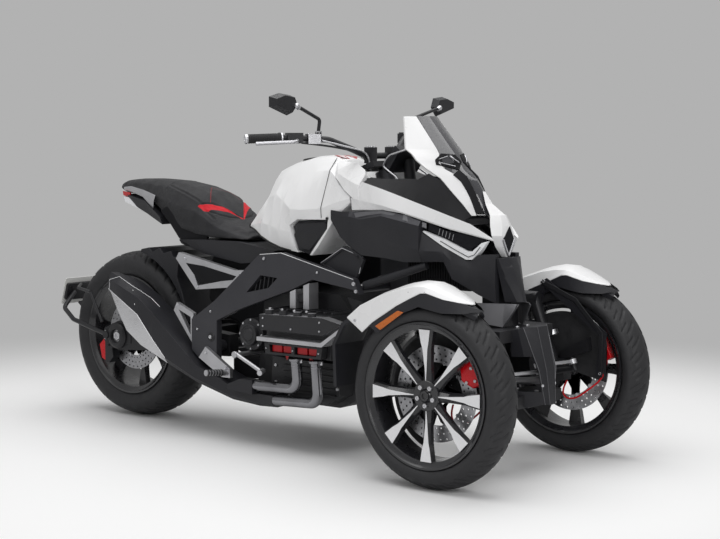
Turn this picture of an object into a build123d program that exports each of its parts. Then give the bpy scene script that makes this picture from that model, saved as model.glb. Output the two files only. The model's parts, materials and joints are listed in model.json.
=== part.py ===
"""Leaning three-wheeled motorcycle: two steered wheels in front, one driven wheel behind.

Millimetres. +X is forward, +Y is left and +Z is up. The origin is on the floor, under the middle of
the machine. Right is the -Y side. Sections are listed as (y, z) points at a station x, outer side
first, with y counted outwards from the centre plane.
"""

import math
import os

from build123d import *

os.makedirs("parts", exist_ok=True)

# Driving dimensions
WHEELBASE = 1730
REAR_AXLE_X = -799
FRONT_AXLE_X = REAR_AXLE_X + WHEELBASE
HALF_TRACK = 406
FRONT_R, FRONT_HALF_WIDTH = 302, 64
REAR_R, REAR_HALF_WIDTH = 326, 100
BEAD_R = 220
LIP_R = 233
CASTER = 20
HEAD_X, HEAD_Z = 395, 1020
KINGPIN_X, KINGPIN_Y = 895, 205
PIN_R, PIN_GAP = 14, 0.3
RUNNING_GAP = 0.3

SIDES = (("right", -1), ("left", 1))
CASTER_AXIS = Vector(-math.sin(math.radians(CASTER)), 0, math.cos(math.radians(CASTER)))


def rod(start, end, radius):
    """Round bar between two points."""
    start, end = Vector(start), Vector(end)
    with BuildPart() as bar:
        with BuildSketch(Plane(origin=start, z_dir=end - start)):
            Circle(radius)
        extrude(amount=(end - start).length)
    return bar.part


def tube(points, radius, bends):
    """Round tube along straight runs joined by tangent arcs."""
    with BuildPart() as run:
        with BuildLine() as path:
            FilletPolyline(*points, radius=bends)
        with BuildSketch(Plane(origin=path.line @ 0, z_dir=path.line % 0)):
            Circle(radius)
        sweep()
    return run.part


def plate(outline, inner, outer, side, windows=()):
    """Flat panel with an (x, z) outline, between two distances from the centre plane, on one side."""
    top = max(side * inner, side * outer)
    with BuildPart() as sheet:
        with BuildSketch(Plane.XZ.offset(-top)):
            Polygon(*outline, align=None)
            for window in windows:
                Polygon(*window, align=None, mode=Mode.SUBTRACT)
        extrude(amount=outer - inner)
    return sheet.part


def skin(rings):
    """Closed body through rings of points, with each point joined to its fellow on the next ring."""
    faces = [Face(Wire.make_polygon(ring)) for ring in (rings[0], rings[-1])]
    for ring, following in zip(rings, rings[1:]):
        for i in range(len(ring)):
            faces.append(Face.make_surface_from_curves(
                Edge.make_line(ring[i - 1], ring[i]), Edge.make_line(following[i - 1], following[i])))
    return Solid(Shell(faces))


def stations(rows, side=1):
    """Body skinned straight through (y, z) sections at stations x."""
    return skin([[(x, side * y, z) for y, z in points] for x, *points in rows])


def levels(rows):
    """Body skinned straight through (x, y) sections at heights z."""
    return skin([[(x, y, z) for x, y in points] for z, *points in rows])


def both(outline):
    """Half section on the left closed by its mirror image across the centre plane."""
    return [*outline, *[(-y, z) for y, z in reversed(outline)]]


def save(part, name):
    part.label = name
    export_step(part, f"parts/{name}.step")


# ---------------------------------------------------------------- wheels
# name, x, y, side the spokes face, tyre radius, half width, then along the axle towards the spoked
# face: start of the spokes, start and end of the hub sleeve, brake disc; last, the disc's radius
WHEELS = (
    ("front_right", FRONT_AXLE_X, -HALF_TRACK, -1, FRONT_R, FRONT_HALF_WIDTH, 24, -24, 30, -12, 155),
    ("front_left", FRONT_AXLE_X, HALF_TRACK, 1, FRONT_R, FRONT_HALF_WIDTH, 24, -24, 30, -12, 155),
    ("rear", REAR_AXLE_X, 0, -1, REAR_R, REAR_HALF_WIDTH, 0, -70, 70, 60, 140),
)
SPOKES = 8
HUB_R, SLEEVE_R, BORE_R = 49, 32, 15.3

for name, x, y, face, radius, half_width, spoke_at, sleeve_from, sleeve_to, disc_at, disc_r in WHEELS:
    hub = Vector(x, y, radius)
    # Wheel frame: Z along the axle, out of the spoked face
    wheel_plane = Plane(origin=hub, x_dir=(1, 0, 0), z_dir=(0, face, 0))
    section_plane = Plane(origin=hub, x_dir=(0, face, 0), z_dir=(1, 0, 0))
    axle = Axis(hub, (0, 1, 0))
    lip = half_width - 6

    with BuildPart() as tyre:
        with BuildSketch(section_plane):
            with BuildLine():
                bead, wall, crown = (lip - 9, BEAD_R), (half_width, LIP_R + 28), (half_width - 16, radius - 22)
                Polyline((-bead[0], bead[1]), bead, (lip - 9, LIP_R))
                ThreePointArc((lip - 9, LIP_R), wall, crown)
                ThreePointArc(crown, (0, radius), (-crown[0], crown[1]))
                ThreePointArc((-crown[0], crown[1]), (-wall[0], wall[1]), (-(lip - 9), LIP_R))
                Line((-(lip - 9), LIP_R), (-bead[0], bead[1]))
            make_face()
        revolve(axis=axle)
    save(tyre.part, f"tyre_{name}")

    with BuildPart() as rim:
        with BuildSketch(section_plane):
            Polygon(
                (-lip, LIP_R), (-lip + 8.5, LIP_R), (-lip + 8.5, BEAD_R - 0.5), (lip - 8.5, BEAD_R - 0.5),
                (lip - 8.5, LIP_R), (lip, LIP_R), (lip, BEAD_R - 14), (-lip, BEAD_R - 14), align=None,
            )
        revolve(axis=axle)
        with BuildSketch(wheel_plane.offset(spoke_at)):
            Circle(HUB_R)
        extrude(amount=22)
        with BuildSketch(wheel_plane.offset(sleeve_from)):
            Circle(SLEEVE_R)
        extrude(amount=sleeve_to - sleeve_from)
        with BuildSketch(wheel_plane.offset(spoke_at)):
            with PolarLocations(0, SPOKES):
                Polygon((HUB_R - 10, -14), (BEAD_R - 10, -8), (BEAD_R - 10, 8), (HUB_R - 10, 14), align=None)
        extrude(amount=26)
        with BuildSketch(wheel_plane.offset(-lip)):
            Circle(BORE_R)
        extrude(amount=lip + sleeve_to, mode=Mode.SUBTRACT)
    save(rim.part, f"rim_{name}")

    with BuildPart() as disc:
        with BuildSketch(wheel_plane.offset(disc_at - 2.5)):
            Circle(disc_r)
            Circle(SLEEVE_R + 0.3, mode=Mode.SUBTRACT)
        extrude(amount=5)
    save(disc.part, f"brake_disc_{name}")

# ---------------------------------------------------------------- front suspension and knuckles
def kingpin_point(side, z, out=0.0, ahead=0.0):
    """Point at height z on the kingpin axis, moved outwards and forwards."""
    x = KINGPIN_X - (z - FRONT_R) * math.tan(math.radians(CASTER))
    return Vector(x + ahead, side * (KINGPIN_Y + out), z)


def head_point(z):
    """Point at height z on the handlebar's steering axis."""
    return Vector(HEAD_X - (z - HEAD_Z) * math.tan(math.radians(CASTER)), 0, z)


SLEEVE_LOW, SLEEVE_HIGH = 330, 425
# Steering linkage: pins this far ahead of each steering axis, on a normal through this height
LINK_AHEAD, LINK_FOOT_Z = 170, 292
LINK_PIN_R, EYE_R, EYE_HALF = 7, 14, 8
FORWARD = Vector(math.cos(math.radians(CASTER)), 0, math.sin(math.radians(CASTER)))
ARM_HALF_SPAN = 146

FRONT_FRAME_Y = 48
with BuildPart() as arms:
    for _, side in SIDES:
        for low, high, x_back, x_front in ((441, 481, 880, 1008), (225, 265, 930, 1045)):
            add(plate([(x_back, low), (x_front, low), (x_front, high), (x_back, high)],
                      FRONT_FRAME_Y + 0.3, ARM_HALF_SPAN + 12, side))
        add(plate([(812, 452), (905, 478), (985, 478), (945, 415), (932, 350), (940, 280), (1025, 232), (935, 232),
                   (850, 340)], ARM_HALF_SPAN - 14, ARM_HALF_SPAN + 14, side))
        add(rod(kingpin_point(side, SLEEVE_LOW), kingpin_point(side, SLEEVE_HIGH), 27))
        add(plate([(838, 425), (885, 425), (915, 335), (868, 335)], ARM_HALF_SPAN + 10, KINGPIN_Y - 12, side))
        add(rod(kingpin_point(side, SLEEVE_LOW - 20), kingpin_point(side, SLEEVE_HIGH + 20), PIN_R + PIN_GAP),
            mode=Mode.SUBTRACT)
save(arms.part, "suspension_arms")

CARRIER_Y = 300
for name, side in SIDES:
    with BuildPart() as knuckle:
        add(rod(kingpin_point(side, SLEEVE_LOW - 30), kingpin_point(side, SLEEVE_HIGH + 32), PIN_R))
        for z in (SLEEVE_LOW - 22, SLEEVE_HIGH + 26):
            add(rod(kingpin_point(side, z, ahead=-5), kingpin_point(side, z, CARRIER_Y - KINGPIN_Y), 17))
        for ahead in (-28, 34):
            out = CARRIER_Y - KINGPIN_Y
            add(rod(kingpin_point(side, 292, out, ahead), kingpin_point(side, 560, out, ahead), 21))
        add(rod(kingpin_point(side, 545, out, -46), kingpin_point(side, 545, out, 52), 24))
        with Locations((FRONT_AXLE_X - 20, side * (CARRIER_Y + 12), FRONT_R)):
            Box(120, 50, 70)
        add(plate([(930, 330), (1046, 372), (1040, 418), (930, 362)], CARRIER_Y + 30, HALF_TRACK - 40, side))
        link_pin = kingpin_point(side, LINK_FOOT_Z) + FORWARD * LINK_AHEAD
        add(rod(kingpin_point(side, LINK_FOOT_Z), link_pin - CASTER_AXIS * 24, 10))
        add(rod(link_pin - CASTER_AXIS * 30, link_pin + CASTER_AXIS * 14, LINK_PIN_R))
        add(rod((FRONT_AXLE_X, side * (CARRIER_Y - 10), FRONT_R), (FRONT_AXLE_X, side * (CARRIER_Y + 76), FRONT_R), 30))
        add(rod((FRONT_AXLE_X, side * (CARRIER_Y + 40), FRONT_R), (FRONT_AXLE_X, side * (HALF_TRACK + 22), FRONT_R),
                BORE_R - RUNNING_GAP))
    save(knuckle.part, f"knuckle_{name}")

# Centre crank that carries the steering across, and a tie rod to each knuckle. Every pin lies the same
# way from its own axis, so the rods keep parallel as all three turn.
crank_pin = kingpin_point(0, LINK_FOOT_Z) + FORWARD * LINK_AHEAD
with BuildPart() as crank:
    add(rod(kingpin_point(0, 262), kingpin_point(0, 444), 12))
    add(rod(kingpin_point(0, LINK_FOOT_Z), crank_pin - CASTER_AXIS * 40, 12))
    add(rod(crank_pin - CASTER_AXIS * 44, crank_pin + CASTER_AXIS * 24, LINK_PIN_R))
save(crank.part, "steering_crank")

for name, side in SIDES:
    outer_eye = kingpin_point(side, LINK_FOOT_Z) + FORWARD * LINK_AHEAD
    inner_eye = crank_pin + CASTER_AXIS * (11 * side)
    along = (inner_eye - outer_eye).normalized()
    with BuildPart() as tie_rod:
        add(rod(outer_eye + along * 9, inner_eye - along * 9, 6))
        for eye in (outer_eye, inner_eye):
            add(rod(eye - CASTER_AXIS * EYE_HALF, eye + CASTER_AXIS * EYE_HALF, EYE_R))
            add(rod(eye - CASTER_AXIS * 20, eye + CASTER_AXIS * 20, LINK_PIN_R + 0.5), mode=Mode.SUBTRACT)
    save(tie_rod.part, f"tie_rod_{name}")

# Red caliper on each front disc, ahead of the axle, and its arm to the axle carrier
for name, side in SIDES:
    with BuildPart() as caliper:
        add(plate([(1040, 355), (1085, 335), (1115, 350), (1085, 412), (1055, 435), (1030, 420)],
                  HALF_TRACK - 40, HALF_TRACK + 8, side))
        add(plate([(1020, 320), (1110, 320), (1110, 450), (1020, 450)],
                  HALF_TRACK - 16, HALF_TRACK - 8, side), mode=Mode.SUBTRACT)
    save(caliper.part, f"front_caliper_{name}")

# ---------------------------------------------------------------- front mudguards
GUARD_Y = 72
GUARD_TOP = [(578, 300), (572, 440), (610, 515), (700, 566), (880, 632), (962, 634), (1040, 612), (1108, 577)]
GUARD_UNDER = [(1100, 567), (1036, 600), (958, 622), (884, 620), (706, 555), (620, 506), (584, 438), (590, 300)]
COVER_TOP = [(628, 535), (700, 588), (900, 662), (965, 664), (1035, 645), (1112, 600)]
COVER_UNDER = [(1108, 591), (1033, 634), (962, 654), (903, 652), (703, 579), (640, 541)]
COVER_SIDE = [*COVER_TOP, (1018, 610), (929, 622), (726, 512), (700, 490)]
STAY = [(850, 600), (878, 615), (1120, 440), (1104, 286), (1078, 290), (1092, 428)]

for name, side in SIDES:
    with BuildPart() as guard:
        add(plate([*GUARD_TOP, *GUARD_UNDER], HALF_TRACK - GUARD_Y, HALF_TRACK + GUARD_Y, side))
        add(plate(STAY, HALF_TRACK - GUARD_Y - 14, HALF_TRACK - GUARD_Y - 9, side))
        add(plate([(850, 600), (878, 615), (890, 608), (862, 592)], HALF_TRACK - GUARD_Y - 14, HALF_TRACK - GUARD_Y, side))
        add(plate([(790, 520), (850, 520), (870, 600), (800, 570)], CARRIER_Y + 24.5, HALF_TRACK - GUARD_Y, side))
    save(guard.part, f"mudguard_{name}")

    with BuildPart() as cover:
        add(plate([*COVER_TOP, *COVER_UNDER], HALF_TRACK - GUARD_Y - 8, HALF_TRACK + GUARD_Y + 8, side))
        add(plate(COVER_SIDE, HALF_TRACK + GUARD_Y + 1, HALF_TRACK + GUARD_Y + 8, side))
    save(cover.part, f"mudguard_cover_{name}")

# ---------------------------------------------------------------- frame
FRAME_OUTLINE = [
    (-313, 434), (-195, 510), (27, 690), (130, 700), (459, 625), (485, 575), (468, 588), (274, 614),
    (176, 572), (-90, 481), (-185, 438), (-187, 290), (-272, 290), (-313, 322),
]
FRAME_WINDOW = [(-37, 550), (32, 616), (113, 610), (69, 572)]
FRAME_IN, FRAME_OUT = 205, 232
PIVOT_X, PIVOT_Z, PIVOT_R = -232, 336, 20
HEAD_GUSSET = [(420, 640), (430, 582), (560, 556), (640, 556), (640, 612), (500, 740), (476, 880), (420, 880)]
with BuildPart() as main_frame:
    for _, side in SIDES:
        add(plate(FRAME_OUTLINE, FRAME_IN, FRAME_OUT, side, [FRAME_WINDOW]))
        add(plate(HEAD_GUSSET, 0, 34, side))
    for x, z, radius in ((60, 650, 20), (452, 586, 12), (PIVOT_X, PIVOT_Z, PIVOT_R)):
        add(rod((x, -FRAME_IN - 5, z), (x, FRAME_IN + 5, z), radius))
    add(rod(head_point(850), head_point(985), 32))
    add(rod(head_point(800), head_point(1020), PIN_R + PIN_GAP), mode=Mode.SUBTRACT)
    add(rod((600, -90, 585), (600, 90, 585), 24))
save(main_frame.part, "main_frame")

with BuildPart() as front_frame:
    for _, side in SIDES:
        add(plate([(640, 470), (870, 520), (900, 548), (938, 548), (944, 482), (1012, 482), (1012, 440), (820, 436),
                   (860, 270), (1046, 266), (1046, 222), (760, 222), (700, 300)], 0, FRONT_FRAME_Y, side))
    add(rod(kingpin_point(0, 252), kingpin_point(0, 454), 12.3), mode=Mode.SUBTRACT)
save(front_frame.part, "front_frame")

# ---------------------------------------------------------------- engine and exhaust
CRANKCASE = [(-60, 200), (-20, 560), (330, 560), (400, 480), (400, 190), (330, 160), (20, 160)]
BANK = [(104, 346), (104, 492), (396, 498), (400, 346)]
with BuildPart() as engine:
    for _, side in SIDES:
        add(plate(CRANKCASE, 0, 150, side))
        add(plate(BANK, 150, 280, side))
        # Round housing behind the cylinders, sump below
        add(rod((-20, side * 150, 400), (-20, side * 226, 400), 58))
        add(rod((-20, side * 226, 400), (-20, side * 236, 400), 40))
        add(plate([(70, 215), (80, 330), (380, 330), (392, 215), (330, 178), (140, 178), (136, 212)], 150, 222, side))
save(engine.part, "engine")

# Head covers with their rails and coil bosses, and an H-shaped stay above each
with BuildPart() as engine_covers:
    for _, side in SIDES:
        add(plate([(112, 436), (108, 490), (396, 496), (481, 479), (396, 436)], 280.5, 322, side))
        add(plate([(104, 412), (396, 412), (481, 468), (481, 456), (400, 398), (104, 398)], 280.5, 332, side))
        add(plate([(128, 352), (122, 392), (388, 392), (380, 352)], 280.5, 312, side,
                  [[(150, 360), (146, 386), (248, 386), (248, 360)], [(262, 360), (262, 386), (364, 386), (360, 360)]]))
        for x in (140, 205, 270, 335):
            add(rod((x, side * 304, 488), (x, side * 304, 507), 15))
        for x, top in ((170, 565), (232, 590)):
            add(plate([(x, 508), (x, top), (x + 26, top + 10), (x + 26, 508)], 180, 230, side))
        add(plate([(190, 532), (190, 556), (240, 558), (240, 534)], 180, 220, side))
save(engine_covers.part, "engine_covers")

with BuildPart() as headers:
    for _, side in SIDES:
        add(tube([(254, side * 296, 344.5), (260, side * 290, 238), (42.5, side * 268, 226)], 19, 40))
        add(tube([(345, side * 296, 344.5), (352, side * 290, 196), (131.5, side * 262, 182)], 19, 40))
save(headers.part, "exhaust_headers")

# One silencer a side, a long wedge that sweeps up from the belly to beside the rear wheel
with BuildPart() as silencers:
    for _, side in SIDES:
        add(stations((
            (-757, (228, 512), (236, 520), (238, 552), (222, 584), (186, 580), (186, 514)),
            (-700, (242, 440), (252, 500), (250, 546), (226, 566), (166, 562), (166, 446)),
            (-648, (246, 368), (262, 478), (260, 530), (222, 548), (156, 544), (156, 374)),
            (-568, (248, 318), (266, 436), (262, 500), (215, 508), (152, 504), (152, 322)),
            (-488, (250, 288), (266, 350), (264, 446), (206, 452), (152, 448), (152, 290)),
            (-423, (250, 262), (264, 284), (262, 392), (204, 398), (152, 394), (152, 262)),
            (-267, (250, 205), (262, 222), (258, 268), (204, 282), (152, 282), (152, 205)),
            (-92, (246, 160), (262, 176), (256, 210), (204, 222), (152, 222), (152, 160)),
            (40, (246, 150), (266, 164), (262, 196), (204, 204), (152, 204), (152, 152)),
            (128.5, (250, 154), (276, 166), (276, 198), (236, 204), (152, 200), (152, 156)),
        ), side))
        add(plate([(-80, 205), (40, 195), (40, 246), (-20, 246), (-80, 222)], 246, 288, side))
save(silencers.part, "silencers")

# ---------------------------------------------------------------- rear brackets
with BuildPart() as brackets:
    for _, side in SIDES:
        add(plate([(-437, 672), (-149, 619), (-84, 623), (-155, 557), (-349, 537), (-453, 648)], 150, 172, side,
                  [[(-364, 608), (-195, 580), (-339, 552)]]))
        add(plate([(-400, 490), (-314, 455), (-314, 345), (-322, 345), (-416, 459)], 206, 222, side,
                  [[(-390, 464), (-328, 440), (-328, 372)]]))
        # Footrest, and the pedal ahead of it on its own pin
        add(plate([(-262, 298), (-228, 340), (-106, 270), (-104, 236), (-146, 236)], FRAME_OUT + 0.3, 248, side))
        add(rod((-122, side * 247, 254), (-136, side * 340, 262), 11))
        add(rod((-25, side * 151, 333), (-25, side * 306, 333), 8))
        add(rod((-28, side * 300, 338), (104, side * 300, 281), 7))
save(brackets.part, "rear_brackets")

# ---------------------------------------------------------------- bodywork
INTAKE = [(136, 796), (175, 818), (322, 822), (314, 790), (226, 690), (163, 704), (150, 757)]
with BuildPart() as tank:
    add(stations((
        (-114, *both([(119, 776), (125, 781), (123, 786), (117, 790), (60, 792), (20, 792)])),
        (-78, *both([(134, 766), (134, 790), (120, 828), (106, 845), (60, 852), (20, 853)])),
        (-42, *both([(150, 752), (150, 795), (118, 872), (88, 904), (50, 920), (18, 925)])),
        (-36, *both([(153, 748), (153, 797), (112, 885), (72, 948), (38, 980), (14, 989)])),
        (20, *both([(168, 729), (171, 790), (138, 902), (90, 960), (46, 1000), (16, 1010)])),
        (80, *both([(179, 714), (187, 775), (165, 880), (106, 967), (56, 1016), (18, 1025)])),
        (137, *both([(186, 706), (194, 772), (192, 852), (118, 974), (60, 1028), (20, 1036)])),
        (190, *both([(191, 700), (199, 775), (198, 852), (122, 981), (62, 1034), (20, 1040)])),
        (240, *both([(193, 694), (201, 778), (202, 855), (128, 986), (66, 1030), (20, 1036)])),
        (272, *both([(195, 728), (202, 785), (203, 858), (132, 989), (92, 1013), (20, 1026)])),
        (300, *both([(196, 764), (202, 796), (203, 863), (147, 976), (116, 986), (20, 980)])),
        (345, *both([(199, 822), (203, 838), (204, 878), (174, 944), (158, 946), (120, 940)])),
        (418, *both([(198, 884), (201, 888), (203, 898), (202, 903), (197, 903), (190, 900)])),
    )))
    for _, side in SIDES:
        add(plate(INTAKE, 170, 230, side), mode=Mode.SUBTRACT)
    # Well for the steering head
    add(plate([(290, 690), (430, 690), (430, 960), (290, 960)], 0, 118, 1), mode=Mode.SUBTRACT)
    add(plate([(290, 690), (430, 690), (430, 960), (290, 960)], 0, 118, -1), mode=Mode.SUBTRACT)
save(tank.part, "tank_cover")

V_PANEL = [(285, 668), (391, 733), (428, 725), (469, 704), (481, 691), (436, 606), (320, 655)]
with BuildPart() as intakes:
    for _, side in SIDES:
        add(stations((
            (142, (174, 784), (178, 791), (171, 797), (170.3, 797), (170.3, 783)),
            (153, (176, 756), (183, 796), (174, 803), (170.3, 803), (170.3, 755)),
            (166, (178, 708), (188, 800), (176, 811), (170.3, 811), (170.3, 707)),
            (226, (180, 694), (190, 806), (178, 817), (170.3, 817), (170.3, 693)),
            (300, (184, 780), (190, 810), (180, 818), (170.3, 818), (170.3, 779)),
        ), side))
        add(plate(V_PANEL, 190, 198, side))
        add(plate(V_PANEL, 198, 204, side,
                  [[(299, 667), (392, 724), (426, 717), (462, 698), (472, 688), (432, 615), (322, 661)]]))
save(intakes.part, "intake_covers")

with BuildPart() as blades:
    for _, side in SIDES:
        add(stations((
            (281, (104, 1012), (100, 1016), (80, 1027), (74, 1021), (90, 1009)),
            (320, (160, 969), (150, 982), (88, 1018), (81, 1010), (146, 969)),
            (389, (196, 925), (182, 962), (120, 1013), (111, 1005), (184, 923)),
            (440, (209, 897), (200, 948), (146, 994), (136, 986), (196, 892)),
            (462, (213, 894), (206, 944), (172, 978), (160, 972), (200, 888)),
        ), side))
        add(stations((
            (425, (204, 900), (198, 858), (188, 858), (188, 890), (194, 900)),
            (470, (214, 893), (205, 861), (192, 861), (188, 920), (202, 956)),
            (520, (223, 887), (212, 862), (198, 862), (204, 925), (218, 947)),
            (577, (231, 880), (218, 863), (204, 863), (208, 915), (222, 933)),
            (650, (224, 862), (218, 856), (204, 856), (204, 892), (217, 911)),
            (730, (193, 836), (188, 830), (174, 830), (174, 862), (189, 880)),
            (802, (150, 808), (146, 803), (132, 803), (134, 830), (149, 848)),
            (858, (114, 791), (110, 786), (98, 786), (98, 806), (112, 822)),
            (922, (78, 771), (75, 767), (68, 767), (68, 770), (76, 775)),
        ), side))
save(blades.part, "side_blades")

with BuildPart() as cowls:
    for _, side in SIDES:
        add(stations((
            (337, (205.5, 822), (206.5, 832), (206.5, 850), (205.5, 856), (204.5, 856), (204.5, 822)),
            (380, (206, 764), (209, 828), (209, 840), (207, 852), (204.5, 852), (204.5, 764)),
            (418, (206, 735), (211, 823), (211, 836), (207, 853), (204.5, 853), (204.5, 735)),
            (430, (201, 726), (211, 822), (211, 835), (198, 854), (150, 854), (150, 726)),
            (470, (204, 706), (214, 806), (216, 828), (204, 857), (150, 857), (150, 706)),
            (577, (207, 702), (224, 776), (231, 844), (217, 859), (150, 859), (150, 702)),
            (650, (203, 692), (225, 745), (229, 831), (217, 852), (150, 852), (150, 692)),
            (716, (190, 694), (208, 737), (207, 815), (196, 830), (130, 830), (130, 694)),
        ), side))
        add(stations((
            (716.5, (190, 694), (206, 734), (190, 792), (108, 792), (108, 694)),
            (783, (160, 697), (166, 732), (158, 744), (98, 744), (98, 690)),
            (808, (146, 640), (148, 697), (145, 728), (90, 728), (90, 636)),
            (850, (120, 612), (123, 677), (118, 700), (74, 700), (74, 606)),
            (864, (111, 602), (113, 670), (110, 701), (68, 701), (68, 597)),
            (880, (100, 590), (102, 662), (100, 720), (62, 720), (62, 586)),
            (929, (66, 560), (72, 630), (69, 722), (48, 722), (46, 560)),
        ), side))
        add(tube([(480, side * 196, 604), (600, side * 196, 640), (724, side * 172, 684)], 14, 60))
save(cowls.part, "side_cowls")

# Dark lens under each blade, with a bright bar folded in a V along its lower edge
with BuildPart() as lamps:
    for _, side in SIDES:
        add(stations((
            (733, (176, 800), (172, 826), (110, 826), (110, 800)),
            (783, (150, 775), (150, 800), (100, 800), (100, 775)),
            (850, (108, 734), (106, 784), (74, 784), (74, 734)),
            (886, (88, 762), (88, 775), (64, 775), (64, 762)),
        ), side))
save(lamps.part, "headlamps")

with BuildPart() as lamp_bars:
    for _, side in SIDES:
        add(stations((
            (721, (189, 794), (190, 798), (180, 799), (178, 793)),
            (783, (162, 748), (162, 772), (130, 772), (130, 746)),
            (848, (122, 705), (120, 732), (90, 732), (90, 704)),
            (864, (112, 705), (110, 732), (82, 732), (82, 704)),
            (890, (97, 736), (94, 760), (76, 760), (76, 736)),
            (908, (86, 764), (84, 766), (74, 766), (76, 762)),
        ), side))
save(lamp_bars.part, "lamp_bars")

with BuildPart() as beak:
    add(levels((
        (925, (831, 4), (838, 0), (831, -4)),
        (885, (852, 18), (868, 0), (852, -18)),
        (849, (884, 38), (920, 0), (884, -38)),
    )))
    add(levels((
        (849, (884, 38), (912, 18), (920, 0), (912, -18), (884, -38)),
        (815, (892, 48), (926, 26), (937, 0), (926, -26), (892, -48)),
        (782, (905, 58), (932, 36), (938, 0), (932, -36), (905, -58)),
        (745, (908, 40), (928, 24), (932, 0), (928, -24), (908, -40)),
        (711, (912, 10), (926, 6), (930, 0), (926, -6), (912, -10)),
    )))
    add(levels((
        (806, (914, 3), (950, 3), (950, -3), (914, -3)),
        (782, (914, 22), (950, 22), (950, -22), (914, -22)),
        (740, (914, 3), (950, 3), (950, -3), (914, -3)),
    )), mode=Mode.SUBTRACT)
save(beak.part, "nose_beak")

with BuildPart() as spine:
    add(levels((
        (710, (930, 66), (938, 64), (952, 20), (952, -20), (938, -64), (930, -66)),
        (680, (930, 62), (946, 58), (964, 18), (964, -18), (946, -58), (930, -62)),
        (565, (950, 44), (986, 26), (1002, 8), (1002, -8), (986, -26), (950, -44)),
    )))
    add(levels((
        (490, (1030, 70), (1040, 68), (1068, 28), (1068, -28), (1040, -68), (1030, -70)),
        (350, (1086, 52), (1090, 50), (1102, 24), (1102, -24), (1090, -50), (1086, -52)),
        (236, (1092, 26), (1098, 24), (1112, 16), (1112, -16), (1098, -24), (1092, -26)),
    )))
save(spine.part, "nose_spine")

with BuildPart() as guards:
    for _, side in SIDES:
        add(stations((
            (876, (112, 545), (110, 562), (98, 562), (98, 540)),
            (918, (90, 492), (86, 562), (74, 562), (78, 490)),
            (955, (64, 484), (58, 561), (46, 561), (52, 482)),
            (996, (44, 552), (34, 560), (28, 560), (36, 550)),
        ), side))
save(guards.part, "nose_guards")

# Screen: height, half width, x of its edges, x of its middle; it necks in below the riders' view
SCREEN = (
    (1177, 57, 595, 612), (1052, 67, 697, 722), (995, 70, 731, 764), (968, 43, 776, 800),
    (928, 38, 803, 828), (876, 37, 821, 850), (846, 36, 832, 862),
)
SCREEN_THICKNESS = 6
with BuildPart() as screen:
    add(levels([(z, (edge, y), (edge * 0.3 + mid * 0.7, y * 0.5), (mid, 0), (edge * 0.3 + mid * 0.7, -y * 0.5),
                 (edge, -y), (edge - SCREEN_THICKNESS, -y), (mid - SCREEN_THICKNESS, 0), (edge - SCREEN_THICKNESS, y))
                for z, y, edge, mid in SCREEN]))
save(screen.part, "windscreen")

# White panels beside the screen: height, outer edge x and y, inner edge x and y
with BuildPart() as screen_sides:
    for _, side in SIDES:
        add(levels([(z, (x_out, side * y_out), (x_in, side * y_in), (x_in - 6, side * y_in), (x_out - 8, side * (y_out - 3)))
                    for z, x_out, y_out, x_in, y_in in (
            (1176, 566, 90, 594, 59), (1066, 604, 130, 688, 69), (1050, 630, 130, 698, 69), (1028, 650, 130, 704, 80),
            (1002, 682, 121, 722, 76), (970, 724, 97, 774, 47), (928, 760, 86, 803, 41), (880, 800, 69, 821, 40),
            (846, 818, 54, 831, 39),
        )]))
save(screen_sides.part, "screen_sides")

with BuildPart() as cockpit:
    add(stations((
        (500, *both([(140, 880), (165, 925), (60, 925)])),
        (600, *both([(148, 880), (185, 900), (80, 915)])),
        (716, *both([(124, 846), (150, 862), (80, 880)])),
        (800, *both([(70, 812), (90, 826), (50, 834)])),
    )))
    with Locations(Location((505, 0, 1030), (0, -55, 0))):
        Box(96, 170, 26)
    add(rod((530, 0, 905), (515, 0, 1030), 20))
save(cockpit.part, "cockpit")

# ---------------------------------------------------------------- seat and tail
with BuildPart() as seat:
    add(stations((
        (-892, *both([(46, 893), (52, 900), (42, 916), (24, 923), (8, 925)])),
        (-868, *both([(56, 885), (64, 901), (50, 922), (28, 929), (8, 931)])),
        (-790, *both([(74, 879), (84, 900), (66, 926), (34, 935), (8, 937)])),
        (-700, *both([(92, 865), (100, 892), (80, 925), (40, 937), (8, 939)])),
        (-630, *both([(108, 833), (116, 874), (90, 916), (46, 934), (8, 937)])),
        (-560, *both([(124, 791), (134, 858), (104, 908), (54, 928), (8, 932)])),
        (-460, *both([(138, 748), (148, 836), (114, 892), (58, 912), (8, 916)])),
        (-385, *both([(142, 733), (152, 822), (114, 868), (58, 890), (8, 895)])),
        (-325, *both([(146, 728), (152, 796), (108, 830), (54, 848), (8, 852)])),
        (-265, *both([(146, 727), (146, 768), (100, 786), (50, 794), (8, 796)])),
        (-200, *both([(144, 727), (138, 752), (94, 766), (48, 770), (8, 771)])),
        (-119, *both([(136, 727), (128, 740), (90, 750), (47, 754), (8, 755)])),
    )))
save(seat.part, "seat")

with BuildPart() as tail:
    add(stations((
        (-824, *both([(70, 852), (80, 878)])),
        (-690, *both([(92, 806), (104, 856)])),
        (-588, *both([(110, 768), (124, 798)])),
    )))
    add(stations((
        (-480, *both([(116, 700), (128, 716)])),
        (-345, *both([(132, 668), (146, 722)])),
        (-150, *both([(138, 642), (150, 722)])),
        (30, *both([(146, 660), (156, 698)])),
    )))
save(tail.part, "tail_cowl")

with BuildPart() as tail_lamp:
    with Locations((-834, 0, 865)):
        Box(16, 130, 26)
save(tail_lamp.part, "tail_lamp")

# ---------------------------------------------------------------- rear running gear
def around(radius, angle):
    """Point (x, z) on a circle about the rear axle, at an angle in degrees from straight ahead."""
    return (REAR_AXLE_X + radius * math.cos(math.radians(angle)), REAR_R + radius * math.sin(math.radians(angle)))


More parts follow.
